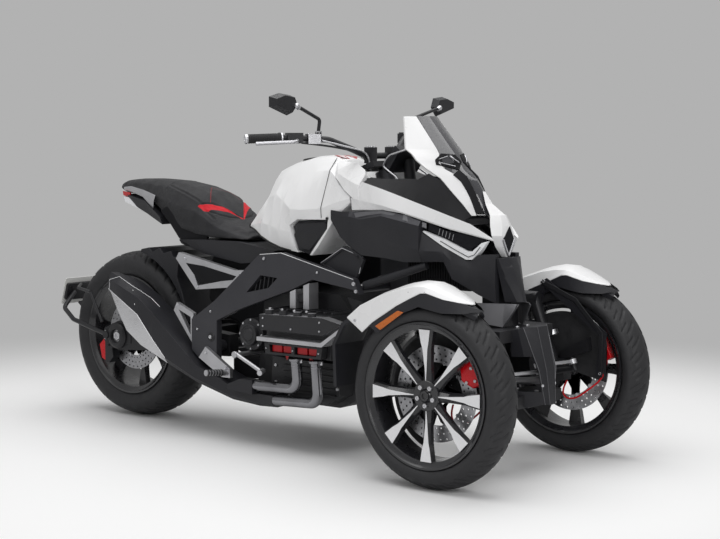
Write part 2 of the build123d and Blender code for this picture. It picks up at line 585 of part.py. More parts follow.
# Outer edge of the inner mudguard as (radius, angle): fins stand up at the top in front
GUARD_EDGE = ((350, 12), (358, 30), (372, 41), (428, 47), (412, 51), (422, 54), (390, 58), (398, 62), (364, 66),
              (372, 70), (352, 76))
with BuildPart() as hugger:
    outline = [*[around(radius, angle) for radius, angle in GUARD_EDGE], *[around(340, angle) for angle in range(76, 11, -8)]]
    add(plate(outline, 0, 104, 1))
    add(plate(outline, 0, 104, -1))
save(hugger.part, "rear_mudguard")

# Threaded hole for a stand's bobbin in the left arm, and the bolts that hold the number plate
BOBBIN_R, BOBBIN_DEPTH, PLATE_BOLT_R, PLATE_BOLT_Y = 4, 20, 3.2, 60
ARM_FACE = 150

with BuildPart() as swingarm:
    for _, side in SIDES:
        add(stations((
            (-880, (ARM_FACE, 300), (ARM_FACE, 350), (112, 350), (112, 300)),
            (-799, (ARM_FACE, 270), (ARM_FACE, 385), (112, 385), (112, 270)),
            (-600, (ARM_FACE, 285), (ARM_FACE, 375), (112, 375), (112, 285)),
            (-430, (ARM_FACE, 285), (ARM_FACE, 395), (100, 395), (100, 285)),
            (-200, (ARM_FACE, 296), (ARM_FACE, 376), (100, 376), (100, 296)),
        ), side))
    add(rod((-700, ARM_FACE - BOBBIN_DEPTH, 310), (-700, ARM_FACE, 310), BOBBIN_R), mode=Mode.SUBTRACT)
    with Locations((-415, 0, 335)):
        Box(50, 230, 90)
    add(rod((PIVOT_X, -160, PIVOT_Z), (PIVOT_X, 160, PIVOT_Z), PIVOT_R + PIN_GAP), mode=Mode.SUBTRACT)
    add(rod((REAR_AXLE_X, -ARM_FACE, REAR_R), (REAR_AXLE_X, ARM_FACE, REAR_R), BORE_R - RUNNING_GAP))
save(swingarm.part, "swingarm")

with BuildPart() as rear_caliper:
    add(plate([(-905, 205), (-878, 232), (-893, 290), (-925, 305), (-958, 275), (-945, 222)], 44, 104, -1))
    # Gap for the brake disc
    add(rod((REAR_AXLE_X, -52, REAR_R), (REAR_AXLE_X, -68, REAR_R), 147), mode=Mode.SUBTRACT)
save(rear_caliper.part, "rear_caliper")

# The plate faces back and leans, top edge forward
PLATE_PLANE = Plane(origin=(-1190, 0, 472), x_dir=(0, -1, 0), z_dir=(-1, 0, 0.3))

with BuildPart() as holder:
    for _, side in SIDES:
        add(tube([(-840, side * 162, 325), (-1060, side * 150, 372), (-1160, side * 112, 410), (-1176, side * 40, 468)], 9, 40))
        add(rod((-850, side * (ARM_FACE + 0.5), 327), (-850, side * 172, 327), 15))
    with BuildSketch(PLATE_PLANE.offset(-13)):
        RectangleRounded(160, 70, 8)
        with Locations((-PLATE_BOLT_Y, 20), (PLATE_BOLT_Y, 20)):
            Circle(PLATE_BOLT_R, mode=Mode.SUBTRACT)
    extrude(amount=12)
save(holder.part, "plate_holder")

with BuildPart() as number_plate:
    with BuildSketch(PLATE_PLANE.offset(-0.7)):
        RectangleRounded(176, 112, 8)
        with Locations((-PLATE_BOLT_Y, 20), (PLATE_BOLT_Y, 20)):
            Circle(PLATE_BOLT_R, mode=Mode.SUBTRACT)
    extrude(amount=3)
save(number_plate.part, "number_plate")

# ---------------------------------------------------------------- steering
HALF_BAR = [(172, 434, 1100), (240, 340, 1104), (332, 212, 1097), (370, 130, 1063), (389, 75, 1040)]
BAR = [*HALF_BAR, *[(x, -y, z) for x, y, z in reversed(HALF_BAR)]]
BAR_R = 11
with BuildPart() as bar:
    add(tube(BAR, BAR_R, [120, 60, 60, 40, 40, 60, 60, 120]))
    add(rod(head_point(842), head_point(1000), PIN_R))
    with Locations(Location(head_point(1004), (0, -CASTER, 0))):
        Box(58, 170, 20)
    for y in (-58, 58):
        with Locations((394, y, 1042)):
            Box(34, 30, 56)
save(bar.part, "handlebar")

with BuildPart() as grips:
    for _, side in SIDES:
        start, end = [Vector(x, side * y, z) for x, y, z in HALF_BAR[:2]]
        along = (end - start).normalized()
        add(rod(start - along * 6, start + along * 106, 16))
        add(rod(start, start + along * 120, BAR_R + 0.2), mode=Mode.SUBTRACT)
save(grips.part, "grips")

# Switch block and reservoir on each side, clamped round the bar, with a lever ahead of the grip
MIRROR_FOOT = (318, 248)
with BuildPart() as controls:
    for _, side in SIDES:
        start, end = [Vector(x, side * y, z) for x, y, z in HALF_BAR[1:3]]
        turn = math.degrees(math.atan2((end - start).Y, (end - start).X))
        for share, length, depth, height in ((0.24, 54, 44, 36), (0.66, 44, 50, 34)):
            with Locations(Location(start + (end - start) * share, (0, 0, turn))):
                Box(length, depth, height)
        add(tube([(278, side * 312, 1096), (300, side * 336, 1090), (215, side * 450, 1084)], 6, 20))
        add(rod((*MIRROR_FOOT, 1096) if side == 1 else (MIRROR_FOOT[0], -MIRROR_FOOT[1], 1096),
                (*MIRROR_FOOT, 1122) if side == 1 else (MIRROR_FOOT[0], -MIRROR_FOOT[1], 1122), 11))
        add(rod(start, end, BAR_R + 0.3), mode=Mode.SUBTRACT)
save(controls.part, "hand_controls")

with BuildPart() as mirrors:
    for _, side in SIDES:
        foot_x, foot_y = MIRROR_FOOT
        add(tube([(foot_x, side * foot_y, 1124), (foot_x + 8, side * (foot_y + 2), 1165), (352, side * 398, 1210)], 6, 16))
        add(stations((
            (322, (386, 1212), (400, 1246), (455, 1252), (503, 1240), (503, 1206), (415, 1178)),
            (350, (392, 1214), (404, 1238), (452, 1244), (494, 1232), (494, 1210), (416, 1188)),
        ), side))
save(mirrors.part, "mirrors")
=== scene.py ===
import json
import math

import bmesh
import bpy
from mathutils import Matrix, Vector

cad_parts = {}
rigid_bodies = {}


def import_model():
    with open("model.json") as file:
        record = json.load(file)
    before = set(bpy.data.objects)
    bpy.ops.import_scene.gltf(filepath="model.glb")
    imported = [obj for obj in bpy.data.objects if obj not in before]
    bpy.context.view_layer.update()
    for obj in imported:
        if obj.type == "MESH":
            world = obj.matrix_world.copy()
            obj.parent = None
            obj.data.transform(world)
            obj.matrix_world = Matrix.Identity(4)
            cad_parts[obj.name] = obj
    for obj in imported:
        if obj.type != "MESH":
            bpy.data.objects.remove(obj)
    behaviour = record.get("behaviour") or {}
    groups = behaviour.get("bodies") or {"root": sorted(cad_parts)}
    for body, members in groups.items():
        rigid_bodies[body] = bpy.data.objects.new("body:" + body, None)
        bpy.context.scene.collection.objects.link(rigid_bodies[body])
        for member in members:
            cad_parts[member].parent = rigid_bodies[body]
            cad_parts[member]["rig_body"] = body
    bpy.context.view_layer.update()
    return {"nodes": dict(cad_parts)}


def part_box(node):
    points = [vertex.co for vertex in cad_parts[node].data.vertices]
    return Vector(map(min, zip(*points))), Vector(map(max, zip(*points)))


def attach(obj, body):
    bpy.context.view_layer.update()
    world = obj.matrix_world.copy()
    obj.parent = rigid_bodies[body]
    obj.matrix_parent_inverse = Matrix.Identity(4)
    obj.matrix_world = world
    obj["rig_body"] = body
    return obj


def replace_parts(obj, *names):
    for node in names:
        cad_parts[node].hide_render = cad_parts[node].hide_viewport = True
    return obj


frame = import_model()
nodes = frame["nodes"]

# ---------------------------------------------------------------- Studio
# A pale floor that fades into a plain grey room, lit by one big soft panel overhead and two weaker
# ones at the front and the side. The room's grey also shows in gloss and through glass.
ROOM_GREY = 0.445
ROOM_LIGHT = 0.34
FLOOR_WHITE = 0.80
FLOOR_SEEN = 0.98  # how white the floor is to the camera itself
FADE_FROM, FADE_TO = 1.7, 3.5


class Shade:
    """A shader socket on which arithmetic adds Math nodes."""

    def __init__(self, tree, socket):
        self.tree = tree
        self.socket = socket

    def math(self, operation, *others):
        node = self.tree.nodes.new("ShaderNodeMath")
        node.operation = operation
        for place, term in zip(node.inputs, (self, *others)):
            if isinstance(term, Shade):
                self.tree.links.new(term.socket, place)
            else:
                place.default_value = term
        return Shade(self.tree, node.outputs[0])

    def __add__(self, other):
        return self.math("ADD", other)

    def __sub__(self, other):
        return self.math("SUBTRACT", other)

    def __mul__(self, other):
        return self.math("MULTIPLY", other)

    def __gt__(self, other):
        return self.math("GREATER_THAN", other)

    def __lt__(self, other):
        return self.math("LESS_THAN", other)


class Finish:
    """A material: constants set on its shader, and nodes that vary what changes over the surface."""

    def __init__(self, name, colour, roughness, **constants):
        self.material = bpy.data.materials.new(name)
        self.material.use_nodes = True
        self.tree = self.material.node_tree
        self.shader = self.tree.nodes["Principled BSDF"]
        self.shader.inputs["Base Color"].default_value = (*colour, 1)
        self.shader.inputs["Roughness"].default_value = roughness
        for socket, value in constants.items():
            self.shader.inputs[socket.replace("_", " ")].default_value = value

    def node(self, kind, settings=None, sockets=None, output=0):
        """Adds a node with its settings first, then the values or links of its sockets."""
        node = self.tree.nodes.new("ShaderNode" + kind)
        for key, value in (settings or {}).items():
            setattr(node, key, value)
        for key, value in (sockets or {}).items():
            if isinstance(value, Shade):
                self.tree.links.new(value.socket, node.inputs[key])
            else:
                node.inputs[key].default_value = value
        return Shade(self.tree, node.outputs[output])

    def place(self, scale=(1, 1, 1)):
        """Object coordinates, stretched."""
        spot = self.node("TexCoord", output=3)
        return self.node("Mapping", sockets={"Vector": spot, "Scale": scale})

    def noise(self, scale, detail=3, roughness=0.5, stretch=(1, 1, 1)):
        return self.node("TexNoise", sockets={
            "Vector": self.place(stretch), "Scale": scale, "Detail": detail, "Roughness": roughness})

    def between(self, factor, low, high, to_low, to_high):
        """Factor from low to high, laid on to_low to to_high and held there outside."""
        return self.node("MapRange", {"interpolation_type": "SMOOTHSTEP"}, {
            "Value": factor, "From Min": low, "From Max": high, "To Min": to_low, "To Max": to_high})

    def tint(self, factor, first, second):
        """From one colour or shade to another, by a factor."""
        ends = [(*end, 1) if isinstance(end, tuple) else end for end in (first, second)]
        return self.node("Mix", {"data_type": "RGBA"}, {0: factor, 6: ends[0], 7: ends[1]}, output=2)

    def vary(self, shade, first, second, grain=None, smooth=0.0, rough=0.0):
        """Colour between two over one pattern, and roughness from smooth to rough over another."""
        self.feed(Base_Color=self.tint(shade, first, second))
        if grain is not None:
            self.feed(Roughness=self.between(grain, 0.3, 0.7, smooth, rough))

    def feed(self, **links):
        for name, value in links.items():
            self.tree.links.new(value.socket, self.shader.inputs[name.replace("_", " ")])

    def bump(self, height, depth):
        """Surface relief of that depth in metres."""
        self.feed(Normal=self.node("Bump", sockets={"Height": height, "Distance": depth, "Strength": 1.0}))


world = bpy.data.worlds.new("room")
bpy.context.scene.world = world
world.use_nodes = True
sky = world.node_tree
rays = sky.nodes.new("ShaderNodeLightPath")
straight, through, mirrored = [Shade(sky, rays.outputs[f"Is {kind} Ray"])
                               for kind in ("Camera", "Transmission", "Glossy")]
seen = straight.math("MAXIMUM", through).math("MAXIMUM", mirrored)
shown = sky.nodes.new("ShaderNodeBackground")
shown.inputs["Color"].default_value = (ROOM_GREY, ROOM_GREY, ROOM_GREY, 1)
plain = sky.nodes["Background"]
plain.inputs["Color"].default_value = (1, 1, 1, 1)
plain.inputs["Strength"].default_value = ROOM_LIGHT
choice = sky.nodes.new("ShaderNodeMixShader")
sky.links.new(seen.socket, choice.inputs["Fac"])
sky.links.new(plain.outputs[0], choice.inputs[1])
sky.links.new(shown.outputs[0], choice.inputs[2])
sky.links.new(choice.outputs[0], sky.nodes["World Output"].inputs["Surface"])

ground = bmesh.new()
bmesh.ops.create_circle(ground, cap_ends=True, segments=96, radius=30)
floor_mesh = bpy.data.meshes.new("floor")
ground.to_mesh(floor_mesh)
ground.free()
floor = bpy.data.objects.new("floor", floor_mesh)
bpy.context.scene.collection.objects.link(floor)
floor_paint = Finish("floor_paint", (FLOOR_WHITE, FLOOR_WHITE, FLOOR_WHITE), 0.55, Specular_IOR_Level=0.25)
looking = floor_paint.node("LightPath")
floor_paint.feed(Base_Color=floor_paint.tint(looking, (FLOOR_WHITE, FLOOR_WHITE, FLOOR_WHITE),
                                             (FLOOR_SEEN, FLOOR_SEEN, FLOOR_SEEN)))
spot = floor_paint.node("TexCoord", output=3)
reach = floor_paint.node("VectorMath", {"operation": "LENGTH"}, {0: spot}, output=1)
far = floor_paint.between(reach, FADE_FROM, FADE_TO, 0.0, 1.0)
glow = floor_paint.node("Emission", sockets={"Color": (ROOM_GREY, ROOM_GREY, ROOM_GREY, 1)})
blend = floor_paint.tree.nodes.new("ShaderNodeMixShader")
floor_paint.tree.links.new(far.socket, blend.inputs["Fac"])
floor_paint.tree.links.new(floor_paint.shader.outputs[0], blend.inputs[1])
floor_paint.tree.links.new(glow.socket, blend.inputs[2])
floor_paint.tree.links.new(blend.outputs[0], floor_paint.tree.nodes["Material Output"].inputs["Surface"])
floor_mesh.materials.append(floor_paint.material)

# name, place, aimed at, width, height, watts
PANELS = (
    ("panel_over", (0.2, 0.0, 3.6), (0, 0, 0.4), 5.0, 4.0, 118),
    ("panel_front", (4.4, -2.6, 2.5), (0.4, 0, 0.6), 2.4, 2.0, 58),
    ("panel_side", (-1.2, -5.0, 2.4), (0, 0, 0.6), 3.2, 1.8, 12),
)
for name, place, aim, width, height, watts in PANELS:
    panel = bpy.data.lights.new(name, "AREA")
    panel.shape = "RECTANGLE"
    panel.size = width
    panel.size_y = height
    panel.energy = watts
    lamp = bpy.data.objects.new(name, panel)
    lamp.location = place
    lamp.rotation_euler = (Vector(aim) - Vector(place)).to_track_quat("-Z", "Y").to_euler()
    bpy.context.scene.collection.objects.link(lamp)

CAMERA_AT = (4.0310, -4.5893, 1.1397)
CAMERA_TOWARDS = (-0.62861, 0.77306, -0.08500)
lens = bpy.data.cameras.new("camera")
lens.lens = 83.47
lens.sensor_width = 36
camera = bpy.data.objects.new("camera", lens)
camera.location = CAMERA_AT
camera.rotation_euler = Vector(CAMERA_TOWARDS).to_track_quat("-Z", "Y").to_euler()
bpy.context.scene.collection.objects.link(camera)
bpy.context.scene.camera = camera
bpy.context.scene.view_settings.view_transform = "Standard"

# ---------------------------------------------------------------- Tyres
# Radial tyres of black rubber, moulded in one piece: slanted grooves across the tread, a shoulder
# and plain side walls with a few fine ribs near the bead.
AXLES = {"front_right": (0.931, -0.406, 0.302), "front_left": (0.931, 0.406, 0.302),
         "rear": (-0.799, 0, 0.326)}
FACES = {"front_right": -1, "front_left": 1, "rear": -1}
GROOVE_DEPTH = 0.0045
# half width and slope in pitches, then where it begins and ends in half widths of the tyre
LONG_GROOVE = (0.12, 0.05, 0.14, 0.72)
SHORT_GROOVE = (0.09, 0.04, 0.5, 0.9)
GROOVE_SLANT = 1.15
TYRE_STEPS = 480

rubber = Finish("tyre_rubber", (0.022, 0.022, 0.024), 0.62, Specular_IOR_Level=0.4)
mottle = rubber.noise(35, 5, 0.6)
rubber.vary(mottle, (0.016, 0.016, 0.018), (0.032, 0.032, 0.034), mottle, 0.5, 0.72)
rubber.bump(rubber.noise(900, 2) * 0.5 + rubber.noise(60, 4) * 0.5, 0.0006)


def arc(start, through, end, steps):
    """Points from start to end on the circle that also passes the middle point."""
    (ax, ay), (bx, by), (cx, cy) = start, through, end
    turn = 2 * (ax * (by - cy) + bx * (cy - ay) + cx * (ay - by))
    ux = ((ax**2 + ay**2) * (by - cy) + (bx**2 + by**2) * (cy - ay) + (cx**2 + cy**2) * (ay - by)) / turn
    uy = ((ax**2 + ay**2) * (cx - bx) + (bx**2 + by**2) * (ax - cx) + (cx**2 + cy**2) * (bx - ax)) / turn
    radius = math.hypot(ax - ux, ay - uy)
    first, middle, last = [math.atan2(y - uy, x - ux) for x, y in (start, through, end)]
    sweep = (last - first) % math.tau
    if (middle - first) % math.tau > sweep:
        sweep -= math.tau
    return [(ux + radius * math.cos(first + sweep * i / steps),
             uy + radius * math.sin(first + sweep * i / steps))
            for i in range(steps + 1)]


def turned(profile, centre, axis=(0, 1, 0), steps=96, closed=False):
    """A bmesh spun from (along the axis, radius) points."""
    bm = bmesh.new()
    axis = Vector(axis).normalized()
    across = axis.orthogonal().normalized()
    ring = [bm.verts.new(Vector(centre) + axis * along + across * radius) for along, radius in profile]
    edges = [bm.edges.new(pair) for pair in zip(ring, ring[1:])]
    if closed:
        edges.append(bm.edges.new((ring[-1], ring[0])))
    bmesh.ops.spin(bm, geom=ring + edges, cent=centre, axis=axis, angle=math.tau, steps=steps,
                   use_merge=True)
    bmesh.ops.remove_doubles(bm, verts=bm.verts, dist=0.00001)
    bmesh.ops.recalc_face_normals(bm, faces=bm.faces)
    return bm


def settle(bm, name, body, finishes, sharp=35, bevel=0.0, segments=2):
    """Makes a bmesh a finished piece that rides on a body."""
    mesh = bpy.data.meshes.new(name)
    for face in bm.faces:
        face.smooth = True
    bm.to_mesh(mesh)
    bm.free()
    mesh.set_sharp_from_angle(angle=math.radians(sharp))
    for finish in finishes if isinstance(finishes, (list, tuple)) else [finishes]:
        mesh.materials.append(finish.material)
    piece = bpy.data.objects.new(name, mesh)
    bpy.context.scene.collection.objects.link(piece)
    if bevel:
        edges = piece.modifiers.new("edges", "BEVEL")
        edges.width = bevel
        edges.segments = segments
        edges.limit_method = "ANGLE"
        edges.angle_limit = math.radians(28)
    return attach(piece, body)


def cut(turn, across, half, slope, begin, end):
    """How far a groove is sunk at a spot, from 0 to 1; turn counts the pitches round the tyre."""
    off = abs(turn % 1 - 0.5)
    return max(0.0, min(1.0, (half - off) / slope)) * (begin < across < end)


for wheel, centre in AXLES.items():
    low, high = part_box("tyre_" + wheel)
    radius = (high.z - low.z) / 2
    half = (high.y - low.y) / 2
    crown = (half - 0.016, radius - 0.022)
    wall = (half, 0.262)
    bead = (half - 0.0155, 0.2335)
    side = arc(bead, wall, crown, 14)
    tread = arc(crown, (0, radius), (-crown[0], crown[1]), 44)
    profile = [(bead[0], 0.2215), *side, *tread[1:-1], *[(-a, r) for a, r in reversed(side)],
               (-bead[0], 0.2215)]
    # Fine ribs round the side wall
    profile = [(a, r + (0.0008 if 4 <= i <= 9 and i % 2 or 4 <= len(profile) - 1 - i <= 9 and i % 2 else 0))
               for i, (a, r) in enumerate(profile)]
    bm = turned(profile, centre, steps=TYRE_STEPS)
    pitches = 34 if wheel != "rear" else 30
    for vert in bm.verts:
        out = vert.co - Vector(centre)
        across = abs(out.y) / half
        distance = math.hypot(out.x, out.z)
        if distance > radius - 0.034 and across < 0.93:
            hand = 1 if out.y > 0 else -1
            turn = math.atan2(out.z, out.x) / math.tau * pitches + (0.5 if hand > 0 else 0)
            turn += across * GROOVE_SLANT
            deep = GROOVE_DEPTH * max(cut(turn, across, *LONG_GROOVE),
                                      cut(turn + 0.5, across, *SHORT_GROOVE))
            vert.co.x -= out.x / distance * deep
            vert.co.z -= out.z / distance * deep
    tyre = settle(bm, f"tyre_{wheel}_treaded", f"{wheel}_wheel", rubber, sharp=50)
    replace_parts(tyre, "tyre_" + wheel)

# ---------------------------------------------------------------- Wheels
# Cast alloy wheels, painted black, with eight spokes. The facet on top of each front spoke is
# machined bright. Five nuts hold each wheel round a dark cap.
gloss_black = Finish("rim_black", (0.012, 0.012, 0.014), 0.28, Coat_Weight=0.5, Coat_Roughness=0.12)
speck = gloss_black.noise(420, 3)
gloss_black.vary(speck, (0.009, 0.009, 0.011), (0.02, 0.02, 0.023), gloss_black.noise(18, 4), 0.2, 0.4)
gloss_black.bump(speck, 0.0002)

# Bright alloy on the spokes' machined facets; the same bright finish also paints the highlights along the
# frame's and the silencers' edges.
machined_and_highlight = Finish("machined_alloy_and_highlight", (0.72, 0.72, 0.74), 0.34, Metallic=0.6)
lathe = machined_and_highlight.noise(160, 4, 0.6, (1, 0.05, 1))
machined_and_highlight.vary(lathe, (0.78, 0.78, 0.80), (0.92, 0.92, 0.93), lathe, 0.28, 0.42)
machined_and_highlight.bump(lathe, 0.00008)

SPOKES = 8
# along the spoke: radius, half width at the back, at the shoulder and of the bright facet, and height
SPOKE_RINGS = ((0.044, 0.020, 0.016, 0.001, 0.045), (0.085, 0.017, 0.013, 0.0035, 0.044),
               (0.148, 0.018, 0.015, 0.0095, 0.047), (0.166, 0.020, 0.018, 0.0145, 0.0485),
               (0.2085, 0.026, 0.025, 0.0215, 0.0495))

for wheel, centre in AXLES.items():
    face = FACES[wheel]
    low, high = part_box("rim_" + wheel)
    lip = (high.y - low.y) / 2
    start = 0.024 if wheel != "rear" else 0.0
    barrel = [(-lip, 0.233), (-lip, 0.2265), (-lip + 0.006, 0.2205), (-lip + 0.012, 0.2075),
              (-lip * 0.3, 0.2065), (lip * 0.4, 0.2065), (lip - 0.012, 0.2085), (lip - 0.006, 0.2205),
              (lip, 0.2265), (lip, 0.233), (lip - 0.003, 0.2332), (lip - 0.0085, 0.2295),
              (lip - 0.0085, 0.2195), (lip * 0.3, 0.2165), (-lip * 0.3, 0.2165), (-lip + 0.0085, 0.2195),
              (-lip + 0.0085, 0.2295), (-lip + 0.003, 0.2332)]
    bm = turned([(a * face, r) for a, r in barrel], centre, closed=True, steps=128)
    rim = settle(bm, f"rim_{wheel}_barrel", f"{wheel}_wheel", gloss_black, sharp=30)
    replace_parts(rim, "rim_" + wheel)

    bm = bmesh.new()
    hub = Vector(centre)
    for i in range(SPOKES):
        angle = math.tau * i / SPOKES
        along = Vector((math.cos(angle), 0, math.sin(angle)))
        sideways = Vector((-math.sin(angle), 0, math.cos(angle)))
        rings = []
        for reach, back, shoulder, facet, height in SPOKE_RINGS:
            top = start - 0.024 + height
            lean = 0.004 * (reach / 0.2085)
            section = [(-back, start + 0.002), (-shoulder, top - 0.009), (-facet + lean, top),
                       (facet + lean, top), (shoulder, top - 0.009), (back, start + 0.002)]
            rings.append([bm.verts.new(hub + along * reach + sideways * w + Vector((0, face * h, 0)))
                          for w, h in section])
        for ring, following in zip(rings, rings[1:]):
            for j in range(6):
                k = (j + 1) % 6
                quad = bm.faces.new((ring[j], ring[k], following[k], following[j]))
                quad.material_index = 1 if j == 2 and wheel != "rear" else 0
        bm.faces.new(rings[0])
        bm.faces.new(rings[-1])
    bmesh.ops.recalc_face_normals(bm, faces=bm.faces)
    settle(bm, f"rim_{wheel}_spokes", f"{wheel}_wheel", [gloss_black, machined_and_highlight], sharp=12)

    sleeve_in, sleeve_out = (-0.024, 0.030) if wheel != "rear" else (-0.070, 0.070)
    hub_low, hub_high = start, start + 0.022
    hub_profile = [(sleeve_in, 0.0153), (sleeve_in, 0.030), (sleeve_in + 0.002, 0.032),
                   (hub_low - 0.004, 0.032), (hub_low, 0.046), (hub_low + 0.004, 0.049),
                   (hub_high - 0.002, 0.049), (hub_high, 0.0465), (hub_high, 0.024),
                   (hub_high - 0.003, 0.020), (max(sleeve_out, hub_high + 0.002) - 0.002, 0.0185),
                   (max(sleeve_out, hub_high + 0.002), 0.0165), (max(sleeve_out, hub_high + 0.002), 0.0153)]
    bm = turned([(a * face, r) for a, r in hub_profile], centre, closed=True, steps=72)
    settle(bm, f"rim_{wheel}_hub", f"{wheel}_wheel", gloss_black, sharp=30)


def around(middle, radius, angle, across=0.0):
    """The spot at that radius and angle round a wheel's middle, and that far along its axle."""
    return middle + Vector((radius * math.cos(angle), across, radius * math.sin(angle)))


def rounded_nut(bm, foot, axis, radius, height, sides=6):
    """Adds a nut or bolt head, its top edge taken off and a round socket sunk in it."""
    axis = Vector(axis).normalized()
    turn = axis.to_track_quat("Z", "Y").to_matrix().to_4x4()
    made = bmesh.ops.create_cone(bm, cap_ends=True, segments=sides, radius1=radius, radius2=radius * 0.94,
                                 depth=height,
                                 matrix=Matrix.Translation(Vector(foot) + axis * height / 2) @ turn)
    top = max({f for v in made["verts"] for f in v.link_faces},
              key=lambda f: f.calc_center_median().dot(axis))
    bmesh.ops.inset_region(bm, faces=[top], thickness=radius * 0.38)
    sunk = bmesh.ops.extrude_discrete_faces(bm, faces=[top])["faces"][0]
    bmesh.ops.translate(bm, verts=sunk.verts, vec=-axis * height * 0.5)


bright_zinc = Finish("bright_fastener", (0.66, 0.66, 0.68), 0.32, Metallic=1.0)
scuff = bright_zinc.noise(300, 3)
bright_zinc.vary(scuff, (0.5, 0.5, 0.52), (0.78, 0.78, 0.80), scuff, 0.25, 0.45)

for wheel, centre in AXLES.items():
    face = FACES[wheel]
    top = (0.046 if wheel != "rear" else 0.022) * face
    bm = bmesh.new()
    for i in range(5):
        angle = math.radians(-90 + 72 * i)
        rounded_nut(bm, around(Vector(centre), 0.031, angle, top), (0, face, 0), 0.0078, 0.007, 12)
    settle(bm, f"hub_bolts_{wheel}", f"{wheel}_wheel", bright_zinc, bevel=0.0006)
    bm = bmesh.new()
    rounded_nut(bm, Vector(centre) + Vector((0, top, 0)), (0, face, 0), 0.017, 0.009, 32)
    settle(bm, f"hub_cap_{wheel}", f"{wheel}_wheel", gloss_black, bevel=0.0006)

# ---------------------------------------------------------------- Brake discs
# Floating steel rotors with rows of drilled holes and a ground face, held by round buttons on a
# black five-armed carrier.
ground_steel = Finish("disc_steel", (0.45, 0.45, 0.46), 0.34, Metallic=1.0)
DISC_FACES = {"front_right": (-0.012, 0.155), "front_left": (-0.012, 0.155), "rear": (0.060, 0.140)}
ground_steel.vary(ground_steel.noise(90, 5), (0.27, 0.27, 0.28), (0.47, 0.47, 0.49),
                  ground_steel.noise(40, 3), 0.26, 0.44)
ground_steel.bump(ground_steel.noise(700, 2), 0.0001)
HOLE_RADIUS = 0.0036
HOLES, ROWS = 36, 3
CARRIER_ARMS = 5

for wheel, centre in AXLES.items():
    place, outer = DISC_FACES[wheel]
    face = FACES[wheel]
    middle = Vector(centre) + Vector((0, place * face, 0))
    rows = ((outer - 0.054, outer - 0.036), (outer - 0.036, outer - 0.018), (outer - 0.018, outer - 0.0005))
    bm = bmesh.new()
    for row, (inside, outside) in enumerate(rows):
        for cell in range(HOLES):
            at = math.tau * (cell + row / ROWS) / HOLES
            half = math.pi / HOLES
            mean = (inside + outside) / 2
            cell_edge = ((inside, -half), (inside, 0), (inside, half), (mean, half),
                         (outside, half), (outside, 0), (outside, -half), (mean, -half))
            outer_loop = [bm.verts.new(around(middle, r, at + turn)) for r, turn in cell_edge]
            hole_at = around(middle, mean, at)
            inner_loop = [bm.verts.new(hole_at + (v.co - hole_at).normalized() * HOLE_RADIUS)
                          for v in outer_loop]
            for j in range(8):
                k = (j + 1) % 8
                bm.faces.new((outer_loop[j], outer_loop[k], inner_loop[k], inner_loop[j]))
    bmesh.ops.remove_doubles(bm, verts=bm.verts, dist=0.00002)
    bmesh.ops.recalc_face_normals(bm, faces=bm.faces)
    bmesh.ops.solidify(bm, geom=bm.faces[:], thickness=0.0045)
    off_middle = sum(v.co.y for v in bm.verts) / len(bm.verts) - middle.y
    bmesh.ops.translate(bm, verts=bm.verts, vec=(0, -off_middle, 0))
    rotor = settle(bm, f"disc_{wheel}_rotor", f"{wheel}_wheel", ground_steel, sharp=30)
    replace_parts(rotor, "brake_disc_" + wheel)

    bm = bmesh.new()
    edges = []
    for i in range(CARRIER_ARMS * 8):
        angle = math.tau * i / (CARRIER_ARMS * 8)
        lobe = 0.5 + 0.5 * math.cos(angle * CARRIER_ARMS)
        reach = 0.052 + (outer - 0.052 - 0.050) * lobe**2
        edges.append([bm.verts.new(around(middle, r, angle, -face * 0.002)) for r in (reach, 0.040)])
    for (rim, bore), (next_rim, next_bore) in zip(edges, edges[1:] + edges[:1]):
        bm.faces.new((rim, next_rim, next_bore, bore))
    bmesh.ops.solidify(bm, geom=bm.faces[:], thickness=0.004)
    bmesh.ops.recalc_face_normals(bm, faces=bm.faces)
    settle(bm, f"disc_{wheel}_carrier", f"{wheel}_wheel", gloss_black, bevel=0.0006)

    bm = bmesh.new()
    for i in range(CARRIER_ARMS * 2):
        angle = math.tau * i / (CARRIER_ARMS * 2)
        foot = around(middle, outer - 0.052, angle, -face * 0.004)
        rounded_nut(bm, foot, (0, face, 0), 0.0065, 0.008, 16)
    settle(bm, f"disc_{wheel}_buttons", f"{wheel}_wheel", bright_zinc)

# ---------------------------------------------------------------- Brake calipers
# Radial calipers of red enamelled alloy, bolted beside each disc, with a bleed screw on top. The
# rear one is red behind its black bracket.
SIDES = ((-1, "right"), (1, "left"))
REAR_BRIDGE = -0.926


def softened(node, finishes, width, sharp=28, segments=2, paint=None, cuts=(), shape=None):
    """A copy of a CAD node with the small radius of a mould on its edges, which is shown in its place.
    cuts are planes that divide its faces, shape moves each corner, and paint chooses the finish of a
    face from its middle and its normal."""
    bm = bmesh.new()
    bm.from_mesh(nodes[node].data)
    bmesh.ops.remove_doubles(bm, verts=bm.verts, dist=0.00002)
    bmesh.ops.dissolve_limit(bm, angle_limit=math.radians(1.5), verts=bm.verts, edges=bm.edges,
                             delimit={"NORMAL"})
    for spot, across in cuts:
        bmesh.ops.bisect_plane(bm, geom=bm.verts[:] + bm.edges[:] + bm.faces[:], plane_co=spot,
                               plane_no=across)
    if shape:
        for vert in bm.verts:
            vert.co = shape(vert.co)
        bm.normal_update()
    if paint:
        for face in bm.faces:
            face.material_index = paint(face.calc_center_median(), face.normal)
    piece = settle(bm, node + "_finished", nodes[node]["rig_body"], finishes, sharp=sharp, bevel=width,
                   segments=segments)
    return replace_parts(piece, node)


def bar(bm, start, end, radius, tip=None, sides=20):
    """Adds a straight round bar, or a cone when the tip has its own radius."""
    start, end = Vector(start), Vector(end)
    along = end - start
    turn = along.to_track_quat("Z", "Y").to_matrix().to_4x4()
    bmesh.ops.create_cone(bm, cap_ends=True, segments=sides, radius1=radius,
                          radius2=radius if tip is None else tip, depth=along.length,
                          matrix=Matrix.Translation((start + end) / 2) @ turn)


